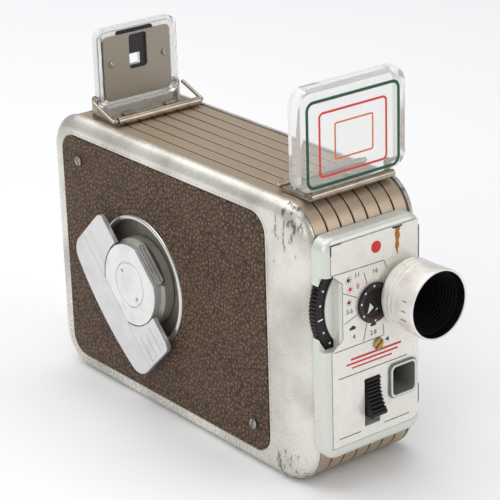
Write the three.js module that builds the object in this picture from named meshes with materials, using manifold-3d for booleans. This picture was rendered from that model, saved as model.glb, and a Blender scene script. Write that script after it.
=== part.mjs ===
// Clockwork 8 mm cine camera, millimetres, +Z up, lens towards -Y, winding side towards -X.
// The origin is the middle of the flat base. Every mesh is one manufactured piece.
import * as THREE from "three";
import { mergeVertices } from "three/addons/utils/BufferGeometryUtils.js";
import Module from "manifold-3d";

const wasm = await Module();
wasm.setup();
const { Manifold, Mesh: SolidMesh } = wasm;

// ---- driving dimensions -------------------------------------------------------------------
const GAP = 0.3; // clearance between neighbouring pieces
const HALF_WIDTH = 28.1; // body half width across the casings
const BAND_HALF = 22.5; // half width of the grooved band
const FRONT = -82; // front of the body
const REAR = 84; // back of the body
const HEIGHT = 112.8; // height of the body
const CORNER = 16; // corner radius of the body seen from the side
const WALL = 1.3; // casing wall
const STRIP = 6.43; // pitch of the band grooves
const GROOVES = 6;

const WELL = { y: 22, z: 54.8, r: 25.8, floor: -25.2 }; // round well of the winding key
const HUB_R = 18.4;
const BOSS_R = 17;
const KEY_FACE = -34.5; // outer face of the folded key
const KEY_SEAT = -30.2; // outer face of the hub under the key
const KEY_TILT = Math.atan2(0.72, 0.694); // key direction in the side view
const KEY_HALF = 31.8;
const KEY_BACK = -28.1; // edges of the key, across it from the hub centre
const KEY_FRONT = 4.1;
const KEY_BOW = 2.4; // how far the rear edge bows out between its corners
const BOSS_FLATS = { rear: -13.4, front: 14.9 };
const KEY_THICK = 2.4;
const KEY_AXIS = { x: -33.2, across: 1.8 }; // fold axis of the key
const CATCH = { x: -31.6, across: 17.2, r: 1.8 }; // ribbed catch beside the boss

const PANEL = { x0: -25.6, x1: 21.5, z0: 15, z1: 103.3, back: -82.3, face: -89.3 };
const PLATE = { x0: -22.4, x1: 19.8, z0: 19.8, z1: 100.8, back: -88.9, face: -89.5 };
const LENS = { x: 11.8, z: 74.8, r: 13.5, back: -91.2, face: -109.7 };
const RING = { x: -3.6, z: 74.5, r: 24, bore: 19.4, y0: -85.8, y1: -82.3, teeth: 48 };
const DIAL = { x: -2.5, z: 73.8, r: 7.84 };
const RELEASE = { x0: -6.6, x1: 0.2, z0: 28.5, z1: 43.4 };
const FINDER = { x0: 4.7, x1: 18.4, z0: 31.8, z1: 46 };

const BASE_TOP = 113.9; // top of both sight base plates
const FRONT_SIGHT = { x: 1.3, half: 25.8, y: -75.3, depth: 6, z0: 116.2, z1: 155.4 };
const FRONT_PIVOT = { y: -71.5, z: 118.6 };
const REAR_SIGHT = { x: 0.5, half: 19.5, y: 58, depth: 4.7, z0: 116.3, z1: 149.2 };
const REAR_PIVOT = { y: 61, z: 120 };
const BAIL = { y: 45.3, z: 114.6, r: 0.8, reach: 13.9, rise: 5 };

const SPOOL_R = 25.2;
const SPOOLS = { y: 38, low: 29.7, high: 83 };
const HINGE = { x: 24.6, y: 86.4 };

// ---- finishes -----------------------------------------------------------------------------
function finish(colour, roughness, metalness) {
  return new THREE.MeshStandardMaterial({ color: colour, roughness, metalness });
}
const PAINT = () => finish(0xe8e6e0, 0.45, 0.25);
const TAUPE = () => finish(0x9c8468, 0.4, 0.6);
const LEATHER = () => finish(0x5c4c42, 0.85, 0);
const CAST = () => finish(0xc8ccc6, 0.5, 0.4);
const ALUMINIUM = () => finish(0xe2e1dd, 0.3, 0.8);
const NICKEL = () => finish(0xc9c4ba, 0.22, 1);
const STEEL = () => finish(0x9a9a9c, 0.35, 1);
const BLACK = () => finish(0x1c1a19, 0.5, 0.1);
const BRASS = () => finish(0xc7a659, 0.3, 1);
const CLEAR = () => finish(0xeef0ec, 0.1, 0);
const GREY = () => finish(0x96907f, 0.45, 0.5);

// ---- solids -------------------------------------------------------------------------------
function toSolid(geometry) {
  const bare = new THREE.BufferGeometry();
  const source = geometry.index ? geometry.toNonIndexed() : geometry;
  bare.setAttribute("position", source.getAttribute("position").clone());
  const merged = mergeVertices(bare, 1e-4);
  return new Manifold(
    new SolidMesh({
      numProp: 3,
      vertProperties: merged.attributes.position.array,
      triVerts: new Uint32Array(merged.index.array),
    }),
  );
}

function toGeometry(solid) {
  const mesh = solid.getMesh();
  const geometry = new THREE.BufferGeometry();
  const positions = new THREE.BufferAttribute(new Float32Array(mesh.vertProperties), 3);
  geometry.setAttribute("position", positions);
  geometry.setIndex(new THREE.BufferAttribute(new Uint32Array(mesh.triVerts), 1));
  const flat = geometry.toNonIndexed();
  flat.computeVertexNormals();
  return flat;
}

function cut(geometry, ...tools) {
  let solid = toSolid(geometry);
  for (const tool of tools) solid = solid.subtract(toSolid(tool));
  return toGeometry(solid);
}

function join(...pieces) {
  let solid = toSolid(pieces[0]);
  for (const piece of pieces.slice(1)) solid = solid.add(toSolid(piece));
  return toGeometry(solid);
}

function common(a, b) {
  return toGeometry(toSolid(a).intersect(toSolid(b)));
}

// A block between two corners.
function block(x0, x1, y0, y1, z0, z1) {
  const geometry = new THREE.BoxGeometry(x1 - x0, y1 - y0, z1 - z0);
  return geometry.translate((x0 + x1) / 2, (y0 + y1) / 2, (z0 + z1) / 2);
}

// A round bar along one axis: `from`..`to` along it, centred on the other two coordinates.
function bar(axis, radius, from, to, a, b, sides = 24, radius2 = radius) {
  const geometry = new THREE.CylinderGeometry(radius2, radius, to - from, sides);
  const mid = (from + to) / 2;
  if (axis === "x") return geometry.rotateZ(-Math.PI / 2).translate(mid, a, b);
  if (axis === "y") return geometry.translate(a, mid, b);
  return geometry.rotateX(Math.PI / 2).translate(a, b, mid);
}

// Rounded rectangle outline as points, anticlockwise, with the same count for every size.
function roundedOutline(u0, u1, v0, v1, radius, steps = 6) {
  const points = [];
  const corners = [
    [u1 - radius, v0 + radius, -90],
    [u1 - radius, v1 - radius, 0],
    [u0 + radius, v1 - radius, 90],
    [u0 + radius, v0 + radius, 180],
  ];
  for (const [u, v, start] of corners) {
    for (let i = 0; i <= steps; i += 1) {
      const angle = THREE.MathUtils.degToRad(start + (90 * i) / steps);
      points.push([u + radius * Math.cos(angle), v + radius * Math.sin(angle)]);
    }
  }
  return points;
}

// Skin over a stack of convex outlines; `place` turns (station, u, v) into x, y, z.
function loft(stack, place) {
  const count = stack[0].outline.length;
  const positions = [];
  const push = (p) => positions.push(...p);
  for (let s = 0; s < stack.length - 1; s += 1) {
    const near = stack[s];
    const far = stack[s + 1];
    for (let i = 0; i < count; i += 1) {
      const j = (i + 1) % count;
      const a = place(near.at, ...near.outline[i]);
      const b = place(near.at, ...near.outline[j]);
      const c = place(far.at, ...far.outline[j]);
      const d = place(far.at, ...far.outline[i]);
      [a, b, c, a, c, d].forEach(push);
    }
  }
  const first = stack[0];
  const last = stack[stack.length - 1];
  for (let i = 1; i < count - 1; i += 1) {
    const start = first.outline;
    const end = last.outline;
    [start[0], start[i + 1], start[i]].forEach((p) => push(place(first.at, ...p)));
    [end[0], end[i], end[i + 1]].forEach((p) => push(place(last.at, ...p)));
  }
  const geometry = new THREE.BufferGeometry();
  geometry.setAttribute("position", new THREE.Float32BufferAttribute(positions, 3));
  return toSolid(geometry).volume() < 0 ? flip(geometry) : geometry;
}

function flip(geometry) {
  const array = geometry.attributes.position.array;
  for (let i = 0; i < array.length; i += 9) {
    for (let k = 0; k < 3; k += 1) {
      const held = array[i + 3 + k];
      array[i + 3 + k] = array[i + 6 + k];
      array[i + 6 + k] = held;
    }
  }
  return geometry;
}

const alongX = (at, u, v) => [at, u, v];
const alongY = (at, u, v) => [u, at, v];
const alongZ = (at, u, v) => [u, v, at];

// Straight rounded block: outline in the plane across `place`, from one station to the other.
function slab(place, from, to, u0, u1, v0, v1, radius, steps = 4) {
  const outline = roundedOutline(u0, u1, v0, v1, radius, steps);
  return loft([{ at: from, outline }, { at: to, outline }], place);
}

// Slab whose edge at the `to` end is rounded over by `edge`.
function softSlab(place, from, to, u0, u1, v0, v1, radius, edge, steps = 4) {
  const way = Math.sign(to - from);
  const stack = [{ at: from, outline: roundedOutline(u0, u1, v0, v1, radius, steps) }];
  for (let i = 0; i <= 3; i += 1) {
    const angle = (Math.PI / 2) * (i / 3);
    const inset = edge * (1 - Math.cos(angle));
    const at = to - way * edge * (1 - Math.sin(angle));
    const r = Math.max(radius - inset, 0.3);
    const outline = roundedOutline(u0 + inset, u1 - inset, v0 + inset, v1 - inset, r, steps);
    stack.push({ at, outline });
  }
  return loft(stack, place);
}

// Body of revolution about an axis through (a, b); profile is [radius, along] pairs.
function turned(axis, profile, a, b, sides = 40) {
  const points = profile.map(([r, h]) => new THREE.Vector2(r, h));
  const geometry = new THREE.LatheGeometry([...points, points[0]], sides);
  if (axis === "x") geometry.rotateZ(-Math.PI / 2).translate(0, a, b);
  else if (axis === "y") geometry.translate(a, 0, b);
  else geometry.rotateX(Math.PI / 2).translate(a, b, 0);
  const bare = new THREE.BufferGeometry();
  bare.setAttribute("position", geometry.toNonIndexed().getAttribute("position"));
  const solid = cleaned(bare);
  return solid;
}

// Drops the zero-area triangles a lathe leaves on its axis, and turns the faces outwards.
function cleaned(geometry) {
  const source = geometry.attributes.position;
  const kept = [];
  const p = [new THREE.Vector3(), new THREE.Vector3(), new THREE.Vector3()];
  for (let i = 0; i < source.count; i += 3) {
    p.forEach((v, k) => v.fromBufferAttribute(source, i + k));
    const area = p[1].clone().sub(p[0]).cross(p[2].clone().sub(p[0])).length();
    if (area > 1e-7) p.forEach((v) => kept.push(v.x, v.y, v.z));
  }
  const out = new THREE.BufferGeometry();
  out.setAttribute("position", new THREE.Float32BufferAttribute(kept, 3));
  return toSolid(out).volume() < 0 ? flip(out) : out;
}

// Toothed outline extruded along an axis; each tooth is centred on its pitch angle plus `phase`.
function toothed(axis, tip, root, teeth, from, to, a, b, fill = 0.5, phase = 0) {
  const shape = new THREE.Shape();
  for (let i = 0; i < teeth; i += 1) {
    const wide = (2 * Math.PI * fill) / teeth;
    const start = (2 * Math.PI * i) / teeth - wide / 2 + phase;
    const corners = [
      [root, start],
      [tip, start + wide * 0.26],
      [tip, start + wide * 0.74],
      [root, start + wide],
    ];
    corners.forEach(([r, angle], k) => {
      const x = r * Math.cos(angle);
      const y = r * Math.sin(angle);
      if (i === 0 && k === 0) shape.moveTo(x, y);
      else shape.lineTo(x, y);
    });
  }
  shape.closePath();
  const options = { depth: to - from, bevelEnabled: false };
  const geometry = new THREE.ExtrudeGeometry(shape, options);
  if (axis === "x") return geometry.rotateY(Math.PI / 2).translate(from, a, b);
  if (axis === "y") return geometry.rotateX(Math.PI / 2).translate(a, to, b);
  return geometry.translate(a, b, from);
}

// Polygon in (y, z) extruded along x, or in (x, z) extruded along y.
function profileBar(axis, points, from, to) {
  const shape = new THREE.Shape(points.map(([u, v]) => new THREE.Vector2(u, v)));
  const options = { depth: to - from, bevelEnabled: false };
  const geometry = new THREE.ExtrudeGeometry(shape, options);
  if (axis === "y") return geometry.rotateX(Math.PI / 2).translate(0, to, 0);
  const turn = new THREE.Matrix4().set(0, 0, 1, from, 1, 0, 0, 0, 0, 1, 0, 0, 0, 0, 0, 1);
  return geometry.applyMatrix4(turn);
}

// Cheese-head screw with a slot, along an axis: head outwards at `head`, shank to `tip`.
function screw(axis, headR, shankR, seat, top, tip, a, b, slotTurn = 0) {
  const way = Math.sign(top - seat);
  const order = (from, to) => (from < to ? [from, to] : [to, from]);
  const head = bar(axis, headR, ...order(seat, top), a, b, 24);
  const shank = bar(axis, shankR, ...order(tip, seat + way * 0.1), a, b, 16);
  const slot = block(-headR - 1, headR + 1, -0.35, 0.35, -0.4, 0.4);
  slot.rotateZ(slotTurn);
  if (axis === "x") slot.rotateY(Math.PI / 2).translate(top, a, b);
  else if (axis === "y") slot.rotateX(Math.PI / 2).translate(a, top, b);
  else slot.translate(a, b, top);
  return cut(join(head, shank), slot);
}

const root = new THREE.Group();
root.name = "cine_camera";

function add(name, geometry, material, parent = root) {
  const mesh = new THREE.Mesh(geometry, material);
  mesh.name = name;
  parent.add(mesh);
  return mesh;
}

// ---- body shells --------------------------------------------------------------------------
function bodyOutline(inset, front, rear, radius) {
  const y0 = FRONT + front;
  const y1 = REAR - rear;
  return roundedOutline(y0, y1, inset, HEIGHT - inset, radius, 6);
}

function grooved() {
  const half = 0.3;
  const stack = [];
  const station = (at, sunk) => {
    const outline = roundedOutline(
      FRONT + 0.4 + sunk,
      REAR - 0.4 - sunk,
      sunk,
      HEIGHT - 0.4 - sunk,
      CORNER - 0.4 - sunk,
      6,
    );
    stack.push({ at, outline });
  };
  station(-BAND_HALF, 0.5);
  station(-BAND_HALF + 0.5, 0);
  for (let i = 0; i < GROOVES; i += 1) {
    const x = (i - (GROOVES - 1) / 2) * STRIP;
    station(x - half, 0);
    station(x - half * 0.5, 0.6);
    station(x + half * 0.5, 0.6);
    station(x + half, 0);
  }
  station(BAND_HALF - 0.5, 0);
  station(BAND_HALF, 0.5);
  return loft(stack, alongX);
}

const SIGHT_SCREWS = [
  { name: "front_sight_screw_a", x: -7.5, y: -63 },
  { name: "front_sight_screw_b", x: 10, y: -63 },
  { name: "rear_sight_screw_a", x: -9.5, y: 53 },
  { name: "rear_sight_screw_b", x: 11.5, y: 53 },
];
const CASE_SCREWS = [
  { name: "case_screw_top", y: 62.1, z: 95.8 },
  { name: "case_screw_low", y: -49.7, z: 18.1 },
];
const BUSH = { x: 0, y: -24, r: 5.2 };

// Opening the view finder tunnel passes through.
function finderOpening(from, to) {
  const { x0, x1, z0, z1 } = FINDER;
  return slab(alongY, from, to, x0 + 0.8, x1 - 0.8, z0 + 0.8, z1 - 0.8, 2, 3);
}

function band() {
  const hollow = slab(alongX, -30, 30, FRONT + 3.1, REAR - 3.1, 3, HEIGHT - 3, 13, 5);
  const holes = SIGHT_SCREWS.map((s) => bar("z", 1.4, 105, 116, s.x, s.y, 16));
  holes.push(bar("y", 4.2, -84, -76, LENS.x, LENS.z, 24));
  holes.push(bar("z", BUSH.r + GAP, -1, 5, BUSH.x, BUSH.y, 24));
  holes.push(finderOpening(-84, -70));
  return cut(grooved(), hollow, ...holes);
}

// Half shell on one side (`side` -1 winding side, +1 film side), rounded over at its edges.
function shellStack(side, thickness) {
  const deep = HALF_WIDTH - BAND_HALF - GAP;
  const stack = [];
  const start = side * (BAND_HALF + GAP);
  if (thickness > 0) {
    stack.push({ at: start - side, outline: insetOutline(0, thickness) });
  }
  for (let i = 0; i <= 5; i += 1) {
    const angle = (Math.PI / 2) * (i / 5);
    const at = start + side * (deep - thickness) * Math.sin(angle);
    stack.push({ at, outline: insetOutline(1 - Math.cos(angle), thickness) });
  }
  return stack;
}

function insetOutline(part, thickness) {
  const inset = 5.6 * part + thickness;
  const front = 10.7 * part + thickness;
  const rear = 7 * part + thickness;
  return bodyOutline(inset, front, rear, CORNER - 6 * part - thickness);
}

function shell(side) {
  return cut(loft(shellStack(side, 0), alongX), loft(shellStack(side, WALL), alongX));
}

const HIDE = { y0: -58.5, y1: 74.5, z0: 7.4, z1: 105.4, r: 8 };

function hidePocket(side) {
  const from = side * (HALF_WIDTH - 0.3);
  const to = side * (HALF_WIDTH + 2);
  const g = GAP;
  return slab(alongX, from, to, HIDE.y0 - g, HIDE.y1 + g, HIDE.z0 - g, HIDE.z1 + g, HIDE.r + g, 6);
}

function hide(side) {
  const from = side * HALF_WIDTH;
  const to = side * (HALF_WIDTH + 0.5);
  return slab(alongX, from, to, HIDE.y0, HIDE.y1, HIDE.z0, HIDE.z1, HIDE.r, 6);
}

function caseLeft() {
  const rim = turned(
    "x",
    [
      [WELL.r, -28.9],
      [WELL.r + 0.5, -29.2],
      [WELL.r + 1.2, -29.1],
      [WELL.r + 1.6, -28.6],
      [WELL.r + 1.6, WELL.floor + 1.2],
      [WELL.r - 2.5, WELL.floor + 1.2],
      [WELL.r - 2.5, WELL.floor + 0.6],
      [WELL.r, WELL.floor + 0.6],
    ],
    WELL.y,
    WELL.z,
    44,
  );
  const floor = bar("x", WELL.r + 1.4, WELL.floor, WELL.floor + 1.2, WELL.y, WELL.z, 44);
  const well = bar("x", WELL.r, -40, WELL.floor, WELL.y, WELL.z, 44);
  const arbor = bar("x", 4.1, -30, -20, WELL.y, WELL.z, 24);
  const screwHoles = CASE_SCREWS.map((s) => bar("x", 1.5, -30, -20, s.y, s.z, 16));
  const pocket = cut(hidePocket(-1), bar("x", WELL.r + 1.6, -40, 0, WELL.y, WELL.z, 44));
  const full = join(cut(shell(-1), pocket), rim, floor);
  return cut(full, well, arbor, ...screwHoles);
}

function hideLeft() {
  const well = bar("x", WELL.r + 1.9, -40, 0, WELL.y, WELL.z, 44);
  const holes = CASE_SCREWS.map((s) => bar("x", 1.5, -30, -20, s.y, s.z, 16));
  return cut(hide(-1), well, ...holes);
}

add("band", band(), TAUPE());
add("case_winding_side", caseLeft(), PAINT());
add("hide_winding_side", hideLeft(), LEATHER());
for (const s of CASE_SCREWS) {
  add(s.name, screw("x", 2.1, 1.1, -28.9, -29.8, -23, s.y, s.z, 0.6), STEEL());
}

// ---- film door ----------------------------------------------------------------------------
const LATCH = { y: -34, z: 56.4, r: 11 };

function doorShell() {
  const seat = bar("x", LATCH.r + 0.6, 25.5, 40, LATCH.y, LATCH.z, 40);
  const floor = bar("x", LATCH.r + 1.8, 24.3, 25.5, LATCH.y, LATCH.z, 40);
  const hole = bar("x", 2.6, 20, 40, LATCH.y, LATCH.z, 24);
  const wall = cut(
    bar("x", LATCH.r + 1.8, 24.3, 27.2, LATCH.y, LATCH.z, 40),
    bar("x", LATCH.r + 0.6, 25.5, 40, LATCH.y, LATCH.z, 40),
  );
  const hingePad = block(24.2, 27.2, 78, 84, 45.3, 67.1);
  const body = cut(shell(1), hidePocket(1));
  return cut(join(body, floor, wall, hingePad), seat, hole);
}

const door = new THREE.Group();
root.add(door);
add("film_door", doorShell(), PAINT(), door);
const latchClear = bar("x", LATCH.r + 0.9, 20, 40, LATCH.y, LATCH.z, 40);
add("hide_film_side", cut(hide(1), latchClear), LEATHER(), door);

function latchKnob() {
  const dish = turned(
    "x",
    [
      [0, 25.8],
      [LATCH.r, 25.8],
      [LATCH.r, 28.2],
      [LATCH.r - 0.8, 29],
      [LATCH.r - 3, 29],
      [LATCH.r - 3.6, 28.2],
      [0, 28.2],
    ],
    LATCH.y,
    LATCH.z,
    40,
  );
  const grip = block(27.9, 31, LATCH.y - 1.4, LATCH.y + 1.4, LATCH.z - 7.6, LATCH.z + 7.6);
  const shaft = bar("x", 2.3, 21.5, 26, LATCH.y, LATCH.z, 24);
  const bolt = block(21.4, 22.6, LATCH.y - 2.4, LATCH.y + 2.4, LATCH.z - 9, LATCH.z + 9);
  return join(dish, grip, shaft, bolt);
}
add("door_latch", latchKnob(), ALUMINIUM(), door);

function knuckle(z0, z1) {
  return bar("z", 1.9, z0, z1, HINGE.x, HINGE.y, 24);
}

const pinHole = bar("z", 1.1, 30, 84, HINGE.x, HINGE.y, 20);
const bodyLeaf = join(
  knuckle(38, 47),
  knuckle(65.4, 74.4),
  block(6, 22.4, 84.3, 85.3, 38, 74.4),
  block(22, 24.8, 84.3, 86, 38, 47),
  block(22, 24.8, 84.3, 86, 65.4, 74.4),
);
add("hinge_body_leaf", cut(bodyLeaf, pinHole), NICKEL());
const doorLeaf = join(
  knuckle(47.3, 65.1),
  block(24.2, 27.2, 84.3, 85.3, 47.3, 65.1),
);
add("hinge_door_leaf", cut(doorLeaf, pinHole), NICKEL(), door);
add("hinge_pin", bar("z", 0.8, 37.4, 75, HINGE.x, HINGE.y, 16), STEEL());

// ---- winding hub and folding key ----------------------------------------------------------
// Local frame of the key: x as the body, y along the key, z across it, origin at the hub centre.
function keyPlace(geometry) {
  return geometry.rotateX(KEY_TILT).translate(0, WELL.y, WELL.z);
}

const hubGroup = new THREE.Group();
root.add(hubGroup);

function hub() {
  const drum = turned(
    "x",
    [
      [0, WELL.floor - GAP],
      [HUB_R, WELL.floor - GAP],
      [HUB_R, KEY_SEAT + 0.6],
      [HUB_R - 0.6, KEY_SEAT],
      [0, KEY_SEAT],
    ],
    0,
    0,
    44,
  );
  const boss = bar("x", BOSS_R, KEY_FACE + 0.1, KEY_SEAT + 0.2, 0, 0, 48);
  const backFlat = block(-40, KEY_SEAT, -30, 30, -30, BOSS_FLATS.rear);
  const frontFlat = block(-40, KEY_SEAT, -30, 30, BOSS_FLATS.front, 30);
  const pocket = block(-40, -29.1, -9.6, 9.6, BOSS_FLATS.front, 30);
  const arbor = bar("x", 3.7, WELL.floor - 0.5, -9, 0, 0, 24);
  const ringCut = cut(bar("x", 9.6, -36, KEY_FACE + 0.6, 0, 0, 40), bar("x", 9.1, -37, -30, 0, 0, 40));
  const pins = bar("y", 0.8, -30, 30, KEY_AXIS.x, KEY_AXIS.across, 16);
  const core = bar("y", 1.5, -12.5, 12.5, KEY_AXIS.x, KEY_AXIS.across, 16);
  const cuts = [backFlat, frontFlat, pocket, ringCut, cut(pins, core)];
  return join(cut(join(drum, boss), ...cuts), arbor);
}
add("winding_hub", keyPlace(hub()), ALUMINIUM(), hubGroup);

// Outline of the key, along and across it: tight front corners, wide rear ones, a bowed rear edge.
function leafOutline(inset) {
  const points = [];
  const half = KEY_HALF - inset;
  const front = KEY_FRONT - inset;
  const wide = 7.5 - inset;
  const tight = 3 - inset;
  const lean = 11.5; // degrees at which the bowed edge meets its corners
  const rear = KEY_BACK + KEY_BOW - 0.15 + inset;
  const corner = (u, v, radius, start, end) => {
    for (let i = 0; i <= 5; i += 1) {
      const angle = THREE.MathUtils.degToRad(start + ((end - start) * i) / 5);
      points.push([u + radius * Math.cos(angle), v + radius * Math.sin(angle)]);
    }
  };
  corner(half - wide, rear + wide, wide, -90 + lean, 0);
  corner(half - tight, front - tight, tight, 0, 90);
  corner(-half + tight, front - tight, tight, 90, 180);
  corner(-half + wide, rear + wide, wide, 180, 270 - lean);
  const [edgeU, edgeV] = points[points.length - 1];
  for (let i = 1; i <= 5; i += 1) {
    const u = edgeU * (1 - i / 3);
    points.push([u, edgeV - KEY_BOW * (1 - (u / edgeU) ** 2)]);
  }
  return points;
}

function keyLeaf() {
  const stack = [{ at: KEY_FACE + KEY_THICK, outline: leafOutline(0) }];
  [0, 0.15, 0.5].forEach((inset, i) => {
    const at = KEY_FACE + [0.5, 0.15, 0][i];
    stack.push({ at, outline: leafOutline(inset) });
  });
  const leaf = loft(stack, alongX);
  const round = bar("x", BOSS_R + GAP, -40, -20, 0, 0, 48);
  const window = common(round, block(-40, -20, -30, 30, BOSS_FLATS.rear - GAP, 30));
  const side = block(-40, -20, -BOSS_R - GAP - 0.2, BOSS_R + GAP + 0.2, -1, 10);
  const pins = bar("y", 0.8, -40, 40, KEY_AXIS.x, KEY_AXIS.across, 16);
  const solidEnds = bar("y", 1.2, 20.5, 40, KEY_AXIS.x, KEY_AXIS.across, 16);
  const otherEnds = bar("y", 1.2, -40, -20.5, KEY_AXIS.x, KEY_AXIS.across, 16);
  const ribs = [];
  for (let i = 0; i < 3; i += 1) {
    const across = -9.9 + 4.35 * i;
    ribs.push(block(-40, KEY_FACE + 0.2, -30.5, -19.2, across - 0.2, across + 0.2));
  }
  return cut(leaf, window, side, cut(pins, solidEnds, otherEnds), ...ribs);
}
add("winding_key", keyPlace(keyLeaf()), ALUMINIUM(), hubGroup);

for (const side of [-1, 1]) {
  const from = side < 0 ? -20.3 : 12.8;
  const pin = bar("y", 0.55, from, from + 7.5, KEY_AXIS.x, KEY_AXIS.across, 16);
  add(side < 0 ? "key_pin_a" : "key_pin_b", keyPlace(pin), STEEL(), hubGroup);
}

// Ribbed spring catch seated in the hub beside the boss.
function keyCatch() {
  const barrel = bar("y", CATCH.r, -9.2, 9.2, CATCH.x, CATCH.across, 20);
  const ribs = [];
  for (let i = 0; i < 3; i += 1) {
    const angle = THREE.MathUtils.degToRad(90 + 45 * i);
    const x = CATCH.x + CATCH.r * Math.cos(angle);
    const z = CATCH.across + CATCH.r * Math.sin(angle);
    ribs.push(bar("y", 0.45, -8.6, 8.6, x, z, 10));
  }
  return join(barrel, ...ribs);
}
add("key_catch", keyPlace(keyCatch()), NICKEL(), hubGroup);

// ---- front casting, plate and controls ----------------------------------------------------
function plateOutline(grow) {
  const { x0, x1, z0, z1 } = PLATE;
  const left = x0 - grow;
  const right = x1 + grow;
  const low = z0 - grow;
  const high = z1 + grow;
  const step = -17 - grow;
  const points = [[left, low]];
  const radius = 3.5 + grow;
  for (let i = 0; i <= 5; i += 1) {
    const angle = (Math.PI / 2) * (i / 5);
    points.push([
      right - radius + radius * Math.sin(angle),
      low + radius - radius * Math.cos(angle),
    ]);
  }
  points.push([right, high], [left, high], [left, 89.8 - grow]);
  points.push([step, 84.9 - grow * 0.4], [step, 62.8 + grow * 0.4], [left, 58.8 + grow]);
  return points;
}

function panel() {
  const { x0, x1, z0, z1, back, face } = PANEL;
  const casting = softSlab(alongY, back, face, x0, x1, z0, z1, 5.5, 2.6, 5);
  const pocket = profileBar("y", plateOutline(GAP), PLATE.face - 3, PLATE.back + GAP);
  const ringOuter = bar("y", RING.r + 0.4, RING.y0 - GAP, back + 1, RING.x, RING.z, 44);
  const ringInner = bar("y", RING.bore - GAP, RING.y0 - 3, back + 2, RING.x, RING.z, 44);
  const ringGroove = cut(ringOuter, ringInner);
  const sight = cut(
    block(-30, -19, -95, RING.y0, 59.5, 88.8),
    bar("y", RING.bore + 0.2, -96, -80, RING.x, RING.z, 44),
  );
  const recess = block(-30, -18.9, -95, -86.6, 60.3, 88); // low ground beside the ring
  const lensBore = bar("y", 3.75, -95, -78, LENS.x, LENS.z, 24);
  const lensSeat = bar("y", 6.3, -95, -86.6, LENS.x, LENS.z, 32);
  const dialBore = bar("y", 1.8, -95, -86.2, DIAL.x, DIAL.z, 16);
  const screwBore = bar("y", 1.5, -95, -85, -0.4, 56.5, 16);
  const slot = block(RELEASE.x0 - 0.4, RELEASE.x1 + 0.4, -95, -83.4, 24.3, 43.7);
  const finder = finderOpening(-95, -80);
  return cut(
    casting, pocket, ringGroove, sight, recess, lensBore, lensSeat, dialBore, screwBore, slot, finder,
  );
}
add("front_casting", panel(), CAST());

function facePlate() {
  const sheet = profileBar("y", plateOutline(0), PLATE.face, PLATE.back);
  const holes = [
    bar("y", 6.3, -95, -80, LENS.x, LENS.z, 32),
    bar("y", 1.8, -95, -80, DIAL.x, DIAL.z, 16),
    bar("y", 1.5, -95, -80, -0.4, 56.5, 16),
    block(RELEASE.x0 - 0.4, RELEASE.x1 + 0.4, -95, -80, 24.3, 43.7),
    finderOpening(-95, -80),
  ];
  return cut(sheet, ...holes);
}
add("face_plate", facePlate(), ALUMINIUM());

const ringTeeth = toothed("y", RING.r, RING.r - 0.8, RING.teeth, RING.y0, RING.y1, RING.x, RING.z);
const ringBore = bar("y", RING.bore, RING.y0 - 1, RING.y1 + 1, RING.x, RING.z, 48);
add("footage_ring", cut(ringTeeth, ringBore), BLACK());

const dialDisc = bar("y", DIAL.r, -90.8, -89.8, DIAL.x, DIAL.z, 40);
const dialShaft = bar("y", 1.5, -89.9, -86.6, DIAL.x, DIAL.z, 16);
const dialGrip = bar("y", 3.2, -91.0, -90.7, DIAL.x, DIAL.z, 24);
add("aperture_dial", join(dialDisc, dialShaft, dialGrip), BLACK());
add("panel_screw", screw("y", 2.3, 1.2, -89.8, -90.4, -86, -0.4, 56.5, 0.9), BRASS());

function lensBarrel() {
  const { r, back, face } = LENS;
  const profile = [
    [3.4, -79],
    [3.4, -87.2],
    [6, -87.2],
    [6, back],
    [r - 1.6, back],
    [r - 1.2, back - 1.6],
    [r, back - 1.9],
    [r, back - 3.4],
    [r - 0.5, back - 3.7],
    [r - 0.5, back - 4.6],
    [r + 0.1, back - 4.9],
    [r + 0.1, back - 6.4],
    [r - 0.5, back - 6.7],
    [r - 0.5, back - 7.6],
    [r, back - 7.9],
    [r + 0.4, face + 0.8],
    [r + 0.1, face],
    [r - 0.6, face],
    [r - 0.6, face + 3],
    [r - 1.1, face + 4],
    [r - 1.1, -94.0],
    [2.4, -94.0],
    [2.4, -79],
  ];
  return turned("y", profile, LENS.x, LENS.z, 40);
}
add("lens_barrel", lensBarrel(), ALUMINIUM());

function lensBaffle() {
  const profile = [[12.0, -94.4]];
  const steps = 6;
  profile.push([12.0, -94.4 - 1.7 * steps]);
  for (let i = steps - 1; i >= 0; i -= 1) {
    const y = -94.4 - 1.7 * i;
    const inner = 6.4 + 0.85 * i;
    profile.push([inner + 0.85, y - 1.7], [inner, y - 1.7 + 0.25], [inner, y]);
  }
  return turned("y", profile, LENS.x, LENS.z, 36);
}
add("lens_baffle", lensBaffle(), BLACK());

function lensGlass() {
  const profile = [
    [0, -94.4],
    [6.0, -94.4],
    [6.0, -95.6],
    [4.6, -96.5],
    [2.5, -97.1],
    [0, -97.3],
  ];
  return turned("y", profile, LENS.x, LENS.z, 40);
}
add("lens_glass", lensGlass(), CLEAR());

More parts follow.
